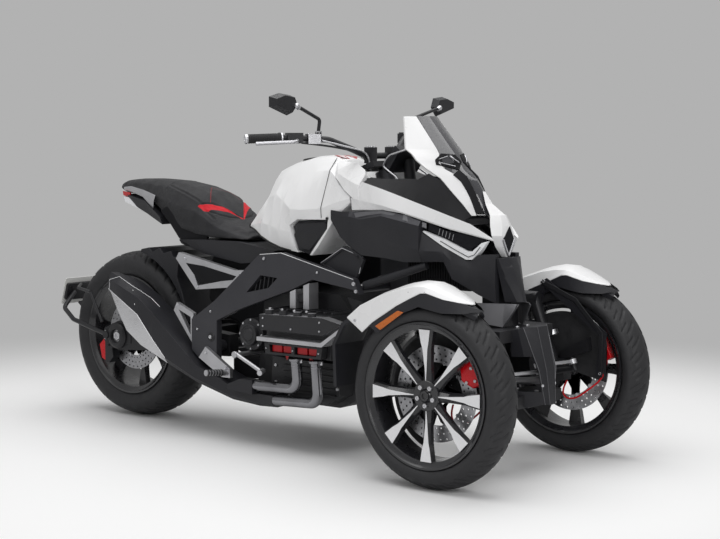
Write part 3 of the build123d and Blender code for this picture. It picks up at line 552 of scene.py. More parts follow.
def bolts(bm, side, out, spots, radius, height, sides=6):
    """Adds bolt heads that face outwards, at (x, z) spots that far from the centre plane."""
    for x, z in spots:
        rounded_nut(bm, (x, side * out, z), (0, side, 0), radius, height, sides)


red_paint = Finish("caliper_red", (0.60, 0.004, 0.010), 0.34, Specular_IOR_Level=0.3, Coat_Weight=0.2)
red_grain = red_paint.noise(400, 3)
red_paint.vary(red_paint.noise(20, 3), (0.52, 0.003, 0.007), (0.72, 0.007, 0.014), red_grain, 0.22, 0.36)
red_paint.bump(red_grain, 0.00015)

satin_black = Finish("satin_black", (0.014, 0.014, 0.016), 0.42, Metallic=0.2)
cast_grain = satin_black.noise(650, 3, 0.6)
satin_black.vary(satin_black.noise(12, 4), (0.010, 0.010, 0.012), (0.024, 0.024, 0.027), cast_grain,
                 0.34, 0.52)
satin_black.bump(cast_grain, 0.0004)

for side, hand in SIDES:
    body = f"front_{hand}_knuckle"
    softened(f"front_caliper_{hand}", red_paint, 0.004, segments=3)
    bm = bmesh.new()
    bolts(bm, side, 0.4135, ((1.062, 0.352), (1.094, 0.360), (1.052, 0.412), (1.078, 0.398)), 0.0055,
          0.005, 12)
    bar(bm, (1.070, side * 0.395, 0.424), (1.074, side * 0.395, 0.440), 0.004)
    settle(bm, f"caliper_bolts_{hand}", body, bright_zinc, bevel=0.0006)


def rear_caliper_paint(middle, normal):
    """Only the half behind the bridge is red."""
    return 0 if middle.x < REAR_BRIDGE else 1


softened("rear_caliper", [red_paint, satin_black], 0.004, segments=3, paint=rear_caliper_paint,
         cuts=[((REAR_BRIDGE, 0, 0), (1, 0, 0))])

# ---------------------------------------------------------------- Knuckles and suspension arms
# Forged and cast parts under satin black paint, with bright bolts at their pivots. Each knuckle
# carries two short telescopic legs and turns on the kingpin in the arms.
cast_silver = Finish("cast_silver", (0.50, 0.50, 0.52), 0.38, Metallic=0.9)
sand = cast_silver.noise(520, 3, 0.6)
cast_silver.vary(cast_silver.noise(15, 4), (0.44, 0.44, 0.46), (0.66, 0.66, 0.68), sand, 0.3, 0.5)
cast_silver.bump(sand, 0.0003)

softened("suspension_arms", satin_black, 0.003, segments=3)
softened("front_frame", satin_black, 0.003)
softened("steering_crank", cast_silver, 0.001)
for side, hand in SIDES:
    body = f"front_{hand}_knuckle"
    softened(f"knuckle_{hand}", satin_black, 0.0015)
    softened(f"tie_rod_{hand}", cast_silver, 0.001)
    bm = bmesh.new()
    bolts(bm, side, 0.1605, ((0.822, 0.446), (0.962, 0.466), (0.902, 0.268), (1.006, 0.244)), 0.011, 0.008)
    for x, z in ((0.990, 0.461), (0.905, 0.461), (1.030, 0.245), (0.950, 0.245)):
        rounded_nut(bm, (x, side * 0.030, z + 0.0205), (0, 0, 1), 0.008, 0.006)
    settle(bm, f"arm_bolts_{hand}", "chassis", bright_zinc, bevel=0.0008)
    bm = bmesh.new()
    bolts(bm, side, 0.4285, ((0.931, 0.302),), 0.012, 0.004)
    bolts(bm, side, 0.3375, ((0.880, 0.320), (0.945, 0.322)), 0.008, 0.006)
    # Bright collars where the legs slide
    for x in (0.856, 0.912):
        bar(bm, (x + 0.006, side * 0.300, 0.420), (x, side * 0.300, 0.436), 0.0225)
    settle(bm, f"knuckle_trim_{hand}", body, bright_zinc, bevel=0.0008)

# ---------------------------------------------------------------- Front mudguards
# A black moulded guard over each front tyre, with a painted cap and skirts below it, an amber
# reflector on its outer side, and a splash shield and a screwed stay inside the wheel.
pearl = Finish("pearl_white", (0.83, 0.83, 0.835), 0.34, Specular_IOR_Level=0.4, Coat_Weight=0.15,
               Coat_Roughness=0.06)
flake = pearl.noise(1500, 2)
cloud = pearl.noise(6, 3)
pearl.vary(flake * 0.6 + cloud * 0.4, (0.79, 0.79, 0.80), (0.86, 0.86, 0.86), cloud, 0.24, 0.34)
pearl.bump(pearl.noise(220, 1), 0.00006)

charcoal = Finish("charcoal_plastic", (0.014, 0.014, 0.017), 0.5, Specular_IOR_Level=0.38)
leather = charcoal.noise(1300, 2, 0.6)
wear = charcoal.noise(9, 4)
charcoal.vary(wear, (0.011, 0.011, 0.014), (0.019, 0.019, 0.023), leather * 0.5 + wear * 0.5, 0.36, 0.54)
charcoal.bump(leather, 0.0003)

amber = Finish("amber_reflector", (0.52, 0.12, 0.01), 0.25, Coat_Weight=0.4)
prism = amber.node("TexVoronoi", {"feature": "F1", "distance": "CHEBYCHEV"},
                   {"Vector": amber.place(), "Scale": 320.0})
amber.vary(prism, (0.62, 0.15, 0.008), (0.40, 0.085, 0.005))
amber.bump(prism, 0.0004)

GUARD_MIDDLE = 0.406
SHIELD_FRONT = 0.170
# (radius, y) round the splash shield's section
SHIELD_SECTION = ((0.040, 0.3520), (0.192, 0.3520), (0.198, 0.3560), (0.198, 0.3590), (0.192, 0.3550),
                  (0.040, 0.3550))
# (x, y, z) of the upper and of the lower edge of the stay's flange
FLANGE = (((0.862, 0.3192, 0.611), (0.858, 0.3192, 0.596)),
          ((1.000, 0.3192, 0.553), (0.992, 0.3192, 0.540)),
          ((1.108, 0.3192, 0.440), (1.094, 0.3192, 0.434)),
          ((1.106, 0.3192, 0.292), (1.092, 0.3192, 0.292)))


def slab(bm, outline, near, far, side):
    """Adds a flat plate with an (x, z) outline, between two distances from the centre plane."""
    corners = [bm.verts.new((x, side * near, z)) for x, z in outline]
    sheet = bm.faces.new(corners)
    grown = bmesh.ops.extrude_face_region(bm, geom=[sheet], use_keep_orig=True)["geom"]
    bmesh.ops.translate(bm, verts=[v for v in grown if isinstance(v, bmesh.types.BMVert)],
                        vec=(0, side * (far - near), 0))
    bmesh.ops.recalc_face_normals(bm, faces=bm.faces)


def plate(name, body, side, outline, near, far, finish, bevel, segments=2):
    """A flat plate that is a piece of its own."""
    bm = bmesh.new()
    slab(bm, outline, near, far, side)
    return settle(bm, name, body, finish, bevel=bevel, segments=segments)


def skin(bm, rings):
    """Adds a closed shape through rings that have the same number of corners."""
    loops = [[bm.verts.new(spot) for spot in ring] for ring in rings]
    for ring, following in zip(loops, loops[1:]):
        for i in range(len(ring)):
            j = (i + 1) % len(ring)
            bm.faces.new((ring[i], ring[j], following[j], following[i]))
    bm.faces.new(loops[0])
    bm.faces.new(loops[-1])
    bmesh.ops.recalc_face_normals(bm, faces=bm.faces)


def strip(bm, side, stations, front, back):
    """Adds a thin strip between two lines of (x, y, z) spots, from a front offset to a back one."""
    rings = []
    for above, below in stations:
        corners = ((above, front), (below, front), (below, back), (above, back))
        rings.append([(x + ahead, side * (y + out), z + up) for (x, y, z), (ahead, out, up) in corners])
    skin(bm, rings)


def guard_shape(spot):
    """The guard's flat top falls a little towards its sides and narrows to a point at the front."""
    off = abs(spot.y) - GUARD_MIDDLE
    if spot.z < 0.5 or abs(off) > 0.0725:
        return spot
    ahead = min(1.0, max(0.0, (spot.x - 0.99) / 0.13))
    fall = 0.004 + 0.014 * min(1.0, max(0.0, (spot.x - 0.88) / 0.13))
    narrowed = GUARD_MIDDLE + off * (1 - 0.8 * ahead)
    return Vector((spot.x, math.copysign(narrowed, spot.y), spot.z - fall * (off / 0.072)**2))


# (x, distance from the tyre's middle, z) of the lower edge and the shoulder, (x, z) of the ridge
COVER_STATIONS = (
    ((0.700, 0.0795, 0.490), (0.636, 0.0760, 0.531), (0.632, 0.541)),
    ((0.742, 0.0795, 0.525), (0.690, 0.0755, 0.573), (0.690, 0.584)),
    ((0.790, 0.0795, 0.554), (0.765, 0.0750, 0.608), (0.765, 0.620)),
    ((0.836, 0.0790, 0.582), (0.845, 0.0720, 0.634), (0.850, 0.650)),
    ((0.884, 0.0780, 0.606), (0.900, 0.0690, 0.645), (0.905, 0.6605)),
    ((0.930, 0.0765, 0.628), (0.938, 0.0650, 0.646), (0.944, 0.6590)),
    ((0.952, 0.0750, 0.629), (0.962, 0.0620, 0.640), (0.970, 0.6460)),
    ((1.010, 0.0640, 0.6115), (1.016, 0.0480, 0.6200), (1.020, 0.6260)),
    ((1.056, 0.0400, 0.6025), (1.056, 0.0260, 0.6065), (1.056, 0.6100)),
    ((1.081, 0.0080, 0.5965), (1.082, 0.0040, 0.5975), (1.083, 0.5980)),
)
# (x, distance from the tyre's middle, z) of the upper and of the lower edge
SKIRT_STATIONS = (
    ((0.726, 0.0770, 0.512), (0.762, 0.0770, 0.488)), ((0.780, 0.0770, 0.550), (0.815, 0.0770, 0.527)),
    ((0.836, 0.0770, 0.584), (0.868, 0.0770, 0.562)), ((0.890, 0.0760, 0.612), (0.924, 0.0770, 0.584)),
    ((0.945, 0.0735, 0.632), (0.968, 0.0770, 0.576)), ((1.010, 0.0625, 0.612), (1.013, 0.0740, 0.569)),
    ((1.056, 0.0390, 0.602), (1.077, 0.0480, 0.569)), ((1.100, 0.0180, 0.586), (1.100, 0.0220, 0.574)),
    ((1.116, 0.0040, 0.579), (1.117, 0.0040, 0.576)),
)

for side, hand in SIDES:
    body = f"front_{hand}_knuckle"
    softened(f"mudguard_{hand}", charcoal, 0.002, shape=guard_shape,
             cuts=[((0, side * (GUARD_MIDDLE + off), 0), (0, 1, 0))
                   for off in (-0.055, -0.03, 0, 0.03, 0.055)])
    rings = []
    for edge, shoulder, (ridge_x, ridge_z) in COVER_STATIONS:
        flank = ((shoulder[0] + ridge_x) / 2, shoulder[1] * 0.55, ridge_z - (ridge_z - shoulder[2]) * 0.3)
        half = [edge, shoulder, flank]
        above = half + [(ridge_x, 0, ridge_z)] + [(x, -off, z) for x, off, z in reversed(half)]
        below = [(x, off * 0.96, z - 0.003) for x, off, z in reversed(above)]
        rings.append([(x, side * (GUARD_MIDDLE + off), z) for x, off, z in above + below])
    bm = bmesh.new()
    skin(bm, rings)
    cover = settle(bm, f"mudguard_cover_{hand}_shell", body, pearl, sharp=34, bevel=0.001)
    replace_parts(cover, f"mudguard_cover_{hand}")
    bm = bmesh.new()
    for hand_off in (-1, 1):
        skin(bm, [[(x, side * (GUARD_MIDDLE + hand_off * (off - inside)), z)
                   for (x, off, z), inside in ((above, 0), (below, 0), (below, 0.003), (above, 0.003))]
                  for above, below in SKIRT_STATIONS])
    settle(bm, f"mudguard_skirt_{hand}", body, charcoal, sharp=40, bevel=0.0008)
    # A splash shield inside the wheel, cut straight before the caliper and open at its lower front
    bm = bmesh.new()
    axle_x, _, axle_z = AXLES[f"front_{hand}"]
    rings = []
    for i in range(61):
        angle = math.radians(-12 + 262 * i / 60)
        reach = SHIELD_FRONT / max(math.cos(angle), 0.1)
        rings.append([(axle_x + min(r, reach) * math.cos(angle), side * y,
                       axle_z + min(r, reach) * math.sin(angle)) for r, y in SHIELD_SECTION])
    skin(bm, rings)
    settle(bm, f"splash_shield_{hand}", body, rubber, sharp=30)
    # The stay's bent flange, screwed on at both ends
    bm = bmesh.new()
    strip(bm, side, FLANGE, (0, 0, 0), (0, -0.003, 0))
    settle(bm, f"guard_flange_{hand}", body, satin_black, sharp=30, bevel=0.0008)
    plate(f"reflector_{hand}", body, side, [(0.755, 0.512), (0.845, 0.567), (0.868, 0.563), (0.776, 0.501)],
          0.4825, 0.4870, amber, 0.0015)
    bm = bmesh.new()
    bolts(bm, side, 0.4838, ((0.672, 0.524),), 0.005, 0.003, 12)
    for x, z in ((0.868, 0.604), (1.098, 0.300)):
        rounded_nut(bm, (x, side * 0.3195, z), (0, -side, 0), 0.006, 0.004)
    settle(bm, f"guard_screws_{hand}", body, bright_zinc, bevel=0.0005)

# ---------------------------------------------------------------- Main frame
# Welded beams of grey painted alloy on each side, from the steering head down to the swingarm's
# pivot, with a mesh of fins in the window and a cap over the pivot bolt.
frame_grey = Finish("frame_grey", (0.034, 0.034, 0.039), 0.46, Metallic=0.35)
sanded = frame_grey.noise(800, 3, 0.6)
frame_grey.vary(frame_grey.noise(8, 3), (0.034, 0.034, 0.040), (0.054, 0.054, 0.061), sanded, 0.36, 0.52)
frame_grey.bump(sanded, 0.00025)


def rods(bm, side, spots, radius, sides=8):
    """Adds straight thin bars from spot to spot, as a seam, an edge or a strut."""
    spots = [(x, side * y, z) for x, y, z in spots]
    for start, end in zip(spots, spots[1:]):
        bar(bm, start, end, radius, sides=sides)


softened("main_frame", frame_grey, 0.004, segments=3)
for side, hand in SIDES:
    bm = bmesh.new()
    for x, low, high in ((-0.004, 0.557, 0.582), (0.016, 0.561, 0.600), (0.036, 0.565, 0.612),
                         (0.056, 0.570, 0.611), (0.076, 0.577, 0.610)):
        slab(bm, [(x, low), (x + 0.004, low), (x + 0.012, high), (x + 0.008, high)], 0.212, 0.224, side)
    settle(bm, f"frame_fins_{hand}", "chassis", satin_black, bevel=0.0006)
    bm = bmesh.new()
    bar(bm, (-0.213, side * 0.232, 0.376), (-0.213, side * 0.2345, 0.376), 0.018, 0.016, 40)
    settle(bm, f"pivot_cap_{hand}", "chassis", satin_black, bevel=0.0008)
    bm = bmesh.new()
    bolts(bm, side, 0.2345, ((-0.213, 0.376),), 0.008, 0.005)
    for x, z, size in ((0.462, 0.610, 0.008), (0.472, 0.585, 0.007), (-0.280, 0.400, 0.005),
                       (-0.212, 0.470, 0.005), (0.052, 0.676, 0.006), (0.300, 0.640, 0.005)):
        rounded_nut(bm, (x, side * 0.232, z), (0, side, 0), size, 0.006)
    settle(bm, f"frame_bolts_{hand}", "chassis", bright_zinc, bevel=0.0007)
    # Painted highlight along the beam's upper edge: a thin bar in the bright finish
    bm = bmesh.new()
    rods(bm, side, ((0.030, 0.2315, 0.6895), (0.130, 0.2315, 0.6995), (0.458, 0.2315, 0.6248)), 0.0012)
    settle(bm, f"frame_edge_highlight_{hand}", "chassis", machined_and_highlight)

# ---------------------------------------------------------------- Engine
# A flat six-cylinder engine in wrinkled black paint, one bank of three on each side: the head
# cover with its bright facets, a rail and a windowed trim plate below it, and bolts all round.
wrinkle = Finish("engine_wrinkle", (0.016, 0.016, 0.018), 0.55, Metallic=0.1)
crackle = wrinkle.node("TexVoronoi", {"feature": "SMOOTH_F1"}, {"Vector": wrinkle.place(), "Scale": 480.0})
wrinkle.feed(Base_Color=wrinkle.tint(wrinkle.noise(10, 4), (0.011, 0.011, 0.013), (0.026, 0.026, 0.029)),
             Roughness=wrinkle.between(crackle, 0.2, 0.8, 0.4, 0.65))
wrinkle.bump(crackle, 0.0004)
glass_red = Finish("trim_red", (0.45, 0.004, 0.010), 0.3, Specular_IOR_Level=0.3, Coat_Weight=0.3)
glass_red.vary(glass_red.noise(90, 3), (0.36, 0.003, 0.007), (0.56, 0.007, 0.013))


def cover_paint(middle, normal):
    """Black on the head cover's faces, bright on its slanted top, the rail, the plate's rim and the stay."""
    x, y, z = middle
    if z > 0.506:
        return 2 if 0.197 < x < 0.231 else 1
    if z > 0.4365:
        return 1 if normal.z > 0.35 or x > 0.398 else 0
    if z > 0.397:
        return 1
    return 2 if abs(normal.y) < 0.5 else 0


# (out from the centre plane, radius) of the round housing behind the bank
HOUSING = ((0.236, 0.0), (0.243, 0.0), (0.243, 0.020), (0.239, 0.024), (0.239, 0.031), (0.243, 0.034),
           (0.243, 0.038), (0.236, 0.040))
softened("engine", wrinkle, 0.004, segments=3)
softened("engine_covers", [wrinkle, cast_silver, satin_black], 0.0025, segments=3, paint=cover_paint)
for side, hand in SIDES:
    # Ribs between the cylinders on the bank and round the clutch housing
    bm = bmesh.new()
    for i in range(9):
        x = 0.112 + i * 0.034
        slab(bm, [(x, 0.500), (x + 0.006, 0.500), (x + 0.006, 0.508), (x, 0.508)], 0.170, 0.262, side)
    for i in range(7):
        z = 0.350 - i * 0.022
        slab(bm, [(0.135, z), (0.372, z), (0.372, z - 0.006), (0.135, z - 0.006)], 0.222, 0.229, side)
    settle(bm, f"engine_ribs_{hand}", "chassis", wrinkle, bevel=0.001)
    bm = turned([(side * out, radius) for out, radius in HOUSING], (-0.020, 0, 0.400), steps=48)
    settle(bm, f"engine_housing_{hand}", "chassis", wrinkle, bevel=0.0008)
    bm = bmesh.new()
    for x in (0.150, 0.206, 0.262, 0.318):
        rounded_nut(bm, (x - 0.010, side * 0.300, 0.507), (0, 0, 1), 0.006, 0.006)
    for i in range(8):
        angle = math.tau * i / 8
        foot = (-0.020 + 0.052 * math.cos(angle), side * 0.226, 0.400 + 0.052 * math.sin(angle))
        rounded_nut(bm, foot, (0, side, 0), 0.0042, 0.004)
    bolts(bm, side, 0.222, ((0.098, 0.300), (0.098, 0.240), (0.382, 0.300), (0.382, 0.240), (0.300, 0.196),
                            (0.160, 0.196)), 0.006, 0.006)
    bolts(bm, side, 0.312, ((0.132, 0.372), (0.372, 0.372), (0.255, 0.372)), 0.003, 0.003, 12)
    bolts(bm, side, 0.322, ((0.126, 0.450), (0.126, 0.478), (0.384, 0.450), (0.384, 0.480),
                            (0.255, 0.448)), 0.0035, 0.003, 12)
    settle(bm, f"engine_bolts_{hand}", "chassis", bright_zinc, bevel=0.0005)
    bm = bmesh.new()
    for x in (0.152, 0.268):
        for rear, ahead, out in ((0, 0.044, 0.302), (0.050, 0.092, 0.300)):
            slab(bm, [(x + rear, 0.361), (x + rear, 0.385), (x + ahead, 0.385), (x + ahead, 0.361)], 0.284,
                 out, side)
    for x in (0.190, 0.300):
        slab(bm, [(x, 0.350), (x + 0.022, 0.350), (x + 0.011, 0.332)], 0.2805, 0.2815, side)
    settle(bm, f"engine_windows_{hand}", "chassis", glass_red, bevel=0.0008)
    plate(f"engine_stay_{hand}", "chassis", side, [(0.404, 0.560), (0.470, 0.548), (0.440, 0.500)],
          0.196, 0.200, satin_black, 0.001)

# ---------------------------------------------------------------- Inner covers
# Plain black mouldings behind the visible panels: the airbox below the tank, a panel under each
# side of the seat, the casing behind the engine, finned radiators and the fairing inside the blades.
deep_black = Finish("deep_black", (0.006, 0.006, 0.007), 0.6, Specular_IOR_Level=0.18)
deep_black.vary(deep_black.noise(14, 4), (0.004, 0.004, 0.005), (0.010, 0.010, 0.012))
deep_black.bump(deep_black.noise(900, 2), 0.0002)
INNER_FAIRING = (
    ((0.470, 0.150, 0.970), (0.470, 0.197, 0.953)), ((0.520, 0.160, 0.966), (0.520, 0.213, 0.944)),
    ((0.570, 0.160, 0.966), (0.577, 0.217, 0.933)), ((0.620, 0.150, 0.968), (0.615, 0.216, 0.920)),
    ((0.655, 0.130, 0.966), (0.650, 0.213, 0.908)), ((0.690, 0.116, 0.986), (0.690, 0.200, 0.893)),
    ((0.728, 0.095, 0.962), (0.730, 0.184, 0.877)), ((0.764, 0.083, 0.920), (0.768, 0.166, 0.860)),
    ((0.804, 0.065, 0.872), (0.802, 0.144, 0.845)), ((0.820, 0.052, 0.846), (0.835, 0.123, 0.830)),
)
plate("airbox", "chassis", 1,
      [(-0.345, 0.500), (-0.335, 0.640), (-0.300, 0.695), (0.100, 0.700), (0.150, 0.640), (0.050, 0.540),
       (-0.040, 0.500), (-0.060, 0.400), (-0.150, 0.385), (-0.200, 0.420), (-0.300, 0.440)],
      -0.112, 0.112, deep_black, 0.012, 4)
plate("lower_casing", "chassis", 1, [(-0.198, 0.215), (-0.198, 0.300), (-0.030, 0.306), (-0.030, 0.225)],
      -0.135, 0.135, deep_black, 0.010, 4)
for side, hand in SIDES:
    plate(f"seat_panel_{hand}", "chassis", side,
          [(-0.584, 0.824), (-0.530, 0.773), (-0.488, 0.725), (-0.451, 0.692), (-0.346, 0.694),
           (-0.330, 0.740), (-0.440, 0.768), (-0.479, 0.788), (-0.510, 0.812), (-0.545, 0.840)],
          0.112, 0.126, deep_black, 0.004, 3)
    bm = bmesh.new()
    slab(bm, [(0.600, 0.600), (0.600, 0.720), (0.700, 0.745), (0.860, 0.690), (0.860, 0.600)], 0.085,
         0.112, side)
    for i in range(24):
        x = 0.608 + i * 0.0105
        top = 0.722 + (x - 0.600) * 0.18 if x < 0.700 else 0.740 - (x - 0.700) * 0.34
        slab(bm, [(x, 0.606), (x + 0.003, 0.606), (x + 0.003, top - 0.008), (x, top - 0.008)], 0.110,
             0.116, side)
    settle(bm, f"radiator_{hand}", "chassis", deep_black, bevel=0.0006)
    bm = bmesh.new()
    strip(bm, side, INNER_FAIRING, (0, 0, 0), (0, 0, -0.003))
    settle(bm, f"inner_fairing_{hand}", "chassis", deep_black, sharp=50, bevel=0.0008)

# ---------------------------------------------------------------- Exhaust
# Brushed steel header pipes with flanges at the heads run into a long black silencer on each side;
# its lower rear panel is bare brushed metal behind a raised seam. Bright lines along that seam and the
# wall's edges are painted highlights.
brushed = Finish("brushed_steel", (0.42, 0.42, 0.43), 0.3, Metallic=1.0)
strokes = brushed.noise(90, 4, 0.6, (0.2, 1, 6))
heat = brushed.noise(5, 2)
brushed.vary(strokes * 0.6 + heat * 0.4, (0.46, 0.46, 0.47), (0.80, 0.80, 0.82), strokes, 0.22, 0.42)
brushed.bump(strokes, 0.0002)
header_steel = Finish("header_steel", (0.28, 0.28, 0.29), 0.2, Metallic=1.0)
blueing = header_steel.noise(12, 3)
header_steel.vary(blueing, (0.17, 0.17, 0.18), (0.36, 0.36, 0.38), blueing, 0.14, 0.28)
header_steel.bump(header_steel.noise(300, 3), 0.00006)
CREASE = ((-0.757, 0.520), (-0.700, 0.500), (-0.648, 0.478), (-0.568, 0.436), (-0.488, 0.350),
          (-0.423, 0.284))
CREASE_OUT = (0.2365, 0.2525, 0.2625, 0.2665, 0.2665, 0.2645)
# (x, y, z) of the painted highlights along the upper edge, the rear edge and the joint across the bare panel
WALL_LINES = (
    ((-0.7465, 0.2395, 0.556), (-0.704, 0.2275, 0.5690), (-0.633, 0.2305, 0.5390), (-0.587, 0.2225, 0.5180),
     (-0.545, 0.2115, 0.4940), (-0.505, 0.2080, 0.4650)),
    ((-0.7465, 0.239, 0.556), (-0.7465, 0.2410, 0.521)),
    ((-0.614, 0.2420, 0.525), (-0.581, 0.2650, 0.471)),
)


def silencer_paint(middle, normal):
    """Bare metal below the crease of the outer wall, as far as the last joint."""
    if abs(normal.y) < 0.6 or abs(middle.y) < 0.2 or not CREASE[0][0] < middle.x < CREASE[-1][0]:
        return 0
    for (x0, z0), (x1, z1) in zip(CREASE, CREASE[1:]):
        if x0 <= middle.x <= x1:
            return 1 if middle.z < z0 + (z1 - z0) * (middle.x - x0) / (x1 - x0) else 0
    return 0


softened("silencers", [charcoal, brushed], 0.004, segments=3, paint=silencer_paint)
softened("exhaust_headers", header_steel, 0, sharp=40)
for side, hand in SIDES:
    bm = bmesh.new()
    for x in (0.254, 0.345):
        bar(bm, (x, side * 0.296, 0.345), (x, side * 0.2955, 0.336), 0.026, 0.024, 32)
        bar(bm, (x + 0.001, side * 0.295, 0.326), (x + 0.002, side * 0.294, 0.318), 0.0205, sides=32)
    settle(bm, f"header_flanges_{hand}", "chassis", header_steel, bevel=0.0012)
    bm = bmesh.new()
    for x in (0.232, 0.276, 0.323, 0.367):
        rounded_nut(bm, (x, side * 0.292, 0.342), (0, 0, -1), 0.006, 0.012)
    settle(bm, f"header_nuts_{hand}", "chassis", bright_zinc, bevel=0.0006)
    # Bright lines along the crease and the wall's edges, painted highlights over the crease's raised seam,
    # and the outlet at the back
    bm = bmesh.new()
    rods(bm, side, [(x, out, z) for (x, z), out in zip(CREASE, CREASE_OUT)], 0.0012)
    for line in WALL_LINES:
        rods(bm, side, line, 0.0010)
    settle(bm, f"silencer_seam_highlight_{hand}", "chassis", machined_and_highlight)
    bm = turned([(0, 0.020), (0.006, 0.024), (0.006, 0.017), (-0.010, 0.016)],
                (-0.756, side * 0.208, 0.548), axis=(-1, 0, 0.1), steps=32)
    settle(bm, f"silencer_outlet_{hand}", "chassis", brushed, bevel=0.0006)

# ---------------------------------------------------------------- Rear brackets and footrests
# Silver castings that tie the tail to the frame, and on each side a ribbed footrest with its hanger
# and the bright foot lever ahead of it.
softened("rear_brackets", cast_silver, 0.003, segments=3)
for side, hand in SIDES:
    plate(f"bracket_recess_{hand}", "chassis", side,
          [(-0.400, 0.634), (-0.326, 0.562), (-0.160, 0.583), (-0.142, 0.598), (-0.308, 0.627)],
          0.171, 0.1735, deep_black, 0.002)
    bm = bmesh.new()
    for x, z, far in ((-0.405, 0.650, 0.172), (-0.120, 0.606, 0.172), (-0.340, 0.548, 0.172),
                      (-0.318, 0.440, 0.222), (-0.392, 0.482, 0.222), (-0.318, 0.360, 0.222),
                      (-0.225, 0.318, 0.248), (-0.124, 0.272, 0.248)):
        rounded_nut(bm, (x, side * far, z), (0, side, 0), 0.006, 0.005)
    settle(bm, f"bracket_bolts_{hand}", "chassis", bright_zinc, bevel=0.0006)
    # Rubber rings on the footrest, a tread pad on the lever
    bm = bmesh.new()
    for i in range(6):
        share = 0.25 + i * 0.13
        foot = Vector((-0.122 - 0.014 * share, side * (0.247 + 0.093 * share), 0.254 + 0.008 * share))
        along = Vector((-0.014, side * 0.093, 0.008)).normalized()
        bar(bm, foot, foot + along * 0.006, 0.0128)
    settle(bm, f"footrest_rings_{hand}", "chassis", rubber, bevel=0.001)
    bm = bmesh.new()
    bar(bm, (0.092, side * 0.286, 0.286), (0.104, side * 0.318, 0.281), 0.0098)
    bar(bm, (-0.026, side * 0.306, 0.334), (-0.026, side * 0.311, 0.334), 0.013, 0.011)
    settle(bm, f"lever_pad_{hand}", "chassis", cast_silver, bevel=0.001)

# ---------------------------------------------------------------- Swingarm and rear hub
# Box-section alloy arms in satin black, with an end plate, a round housing and a nut over each end
# of the axle and a bracket that holds the rear caliper.
HUB_HOUSING = ((0.150, 0.050), (0.158, 0.050), (0.164, 0.044), (0.168, 0.038), (0.168, 0.027),
               (0.150, 0.027))
softened("swingarm", satin_black, 0.006, segments=3)
for side, hand in SIDES:
    bm = bmesh.new()
    bolts(bm, side, 0.150, ((-0.799, 0.326),), 0.019, 0.010)
    bar(bm, (-0.799, side * 0.150, 0.326), (-0.799, side * 0.153, 0.326), 0.026, sides=32)
    bolts(bm, side, 0.150, ((-0.871, 0.312), (-0.871, 0.338), (-0.640, 0.350), (-0.640, 0.306),
                            (-0.450, 0.300), (-0.450, 0.378)), 0.006, 0.005)
    settle(bm, f"axle_nut_{hand}", "chassis", bright_zinc, bevel=0.0008)
    plate(f"axle_plate_{hand}", "chassis", side,
          [(-0.872, 0.290), (-0.726, 0.300), (-0.726, 0.352), (-0.872, 0.356)],
          0.150, 0.1525, satin_black, 0.001)
    bm = turned([(side * out, radius) for out, radius in HUB_HOUSING], AXLES["rear"], steps=64, closed=True)
    settle(bm, f"hub_housing_{hand}", "chassis", satin_black, bevel=0.0008)
bm = bmesh.new()
slab(bm, [(-0.905, 0.292), (-0.862, 0.316), (-0.840, 0.312), (-0.880, 0.262)], 0.1043, 0.1115, -1)
bolts(bm, -1, 0.1115, ((-0.896, 0.278), (-0.868, 0.304)), 0.006, 0.004)
settle(bm, "caliper_bracket_rear", "chassis", satin_black, bevel=0.001)

# ---------------------------------------------------------------- Rear mudguard and number plate
# A short black guard hugs the tyre. A bent strut from the swingarm carries the blank plate behind
# the wheel, with two screws through it and a small lamp below.
softened("rear_mudguard", charcoal, 0.003)
softened("plate_holder", satin_black, 0.001, sharp=40)
PLATE_STRUT = ((-1.148, 0.030, 0.500), (-1.060, 0.124, 0.497), (-0.954, 0.152, 0.489),
               (-0.886, 0.154, 0.374))
bm = bmesh.new()
rods(bm, -1, PLATE_STRUT, 0.006, 20)
settle(bm, "plate_strut", "chassis", satin_black)
plate_paint = Finish("plate_white", (0.72, 0.72, 0.70), 0.4)
plate_paint.vary(plate_paint.noise(70, 3), (0.68, 0.68, 0.66), (0.76, 0.76, 0.74))
plate_paint.bump(plate_paint.noise(500, 2), 0.0001)
softened("number_plate", plate_paint, 0.0008)
red_lens = Finish("red_lens", (0.5, 0.01, 0.012), 0.12, Coat_Weight=1.0)
red_lens.vary(red_lens.noise(260, 1), (0.38, 0.006, 0.008), (0.62, 0.014, 0.016))
plate("plate_lamp", "chassis", 1, [(-1.176, 0.428), (-1.178, 0.420), (-1.160, 0.406), (-1.154, 0.414)],
      -0.022, 0.022, satin_black, 0.002)
for side, hand in SIDES:
    bm = bmesh.new()
    rounded_nut(bm, (-1.1835, side * 0.060, 0.4930), (-1, 0, 0.3), 0.0055, 0.004, 12)
    settle(bm, f"plate_screw_{hand}", "chassis", bright_zinc)

# ---------------------------------------------------------------- Tank cover and intakes
# One large painted shell with a soft radius on its creases, a black rubber strip where it meets
# the seat, a filler cap and red trim on top, and a dark panel with a bright edge in each intake.
softened("tank_cover", pearl, 0.006, segments=3)


def intake_paint(middle, normal):
    """A lighter raised rim on the V-shaped panel."""
    return 1 if abs(middle.y) > 0.2005 and abs(normal.y) < 0.8 else 0


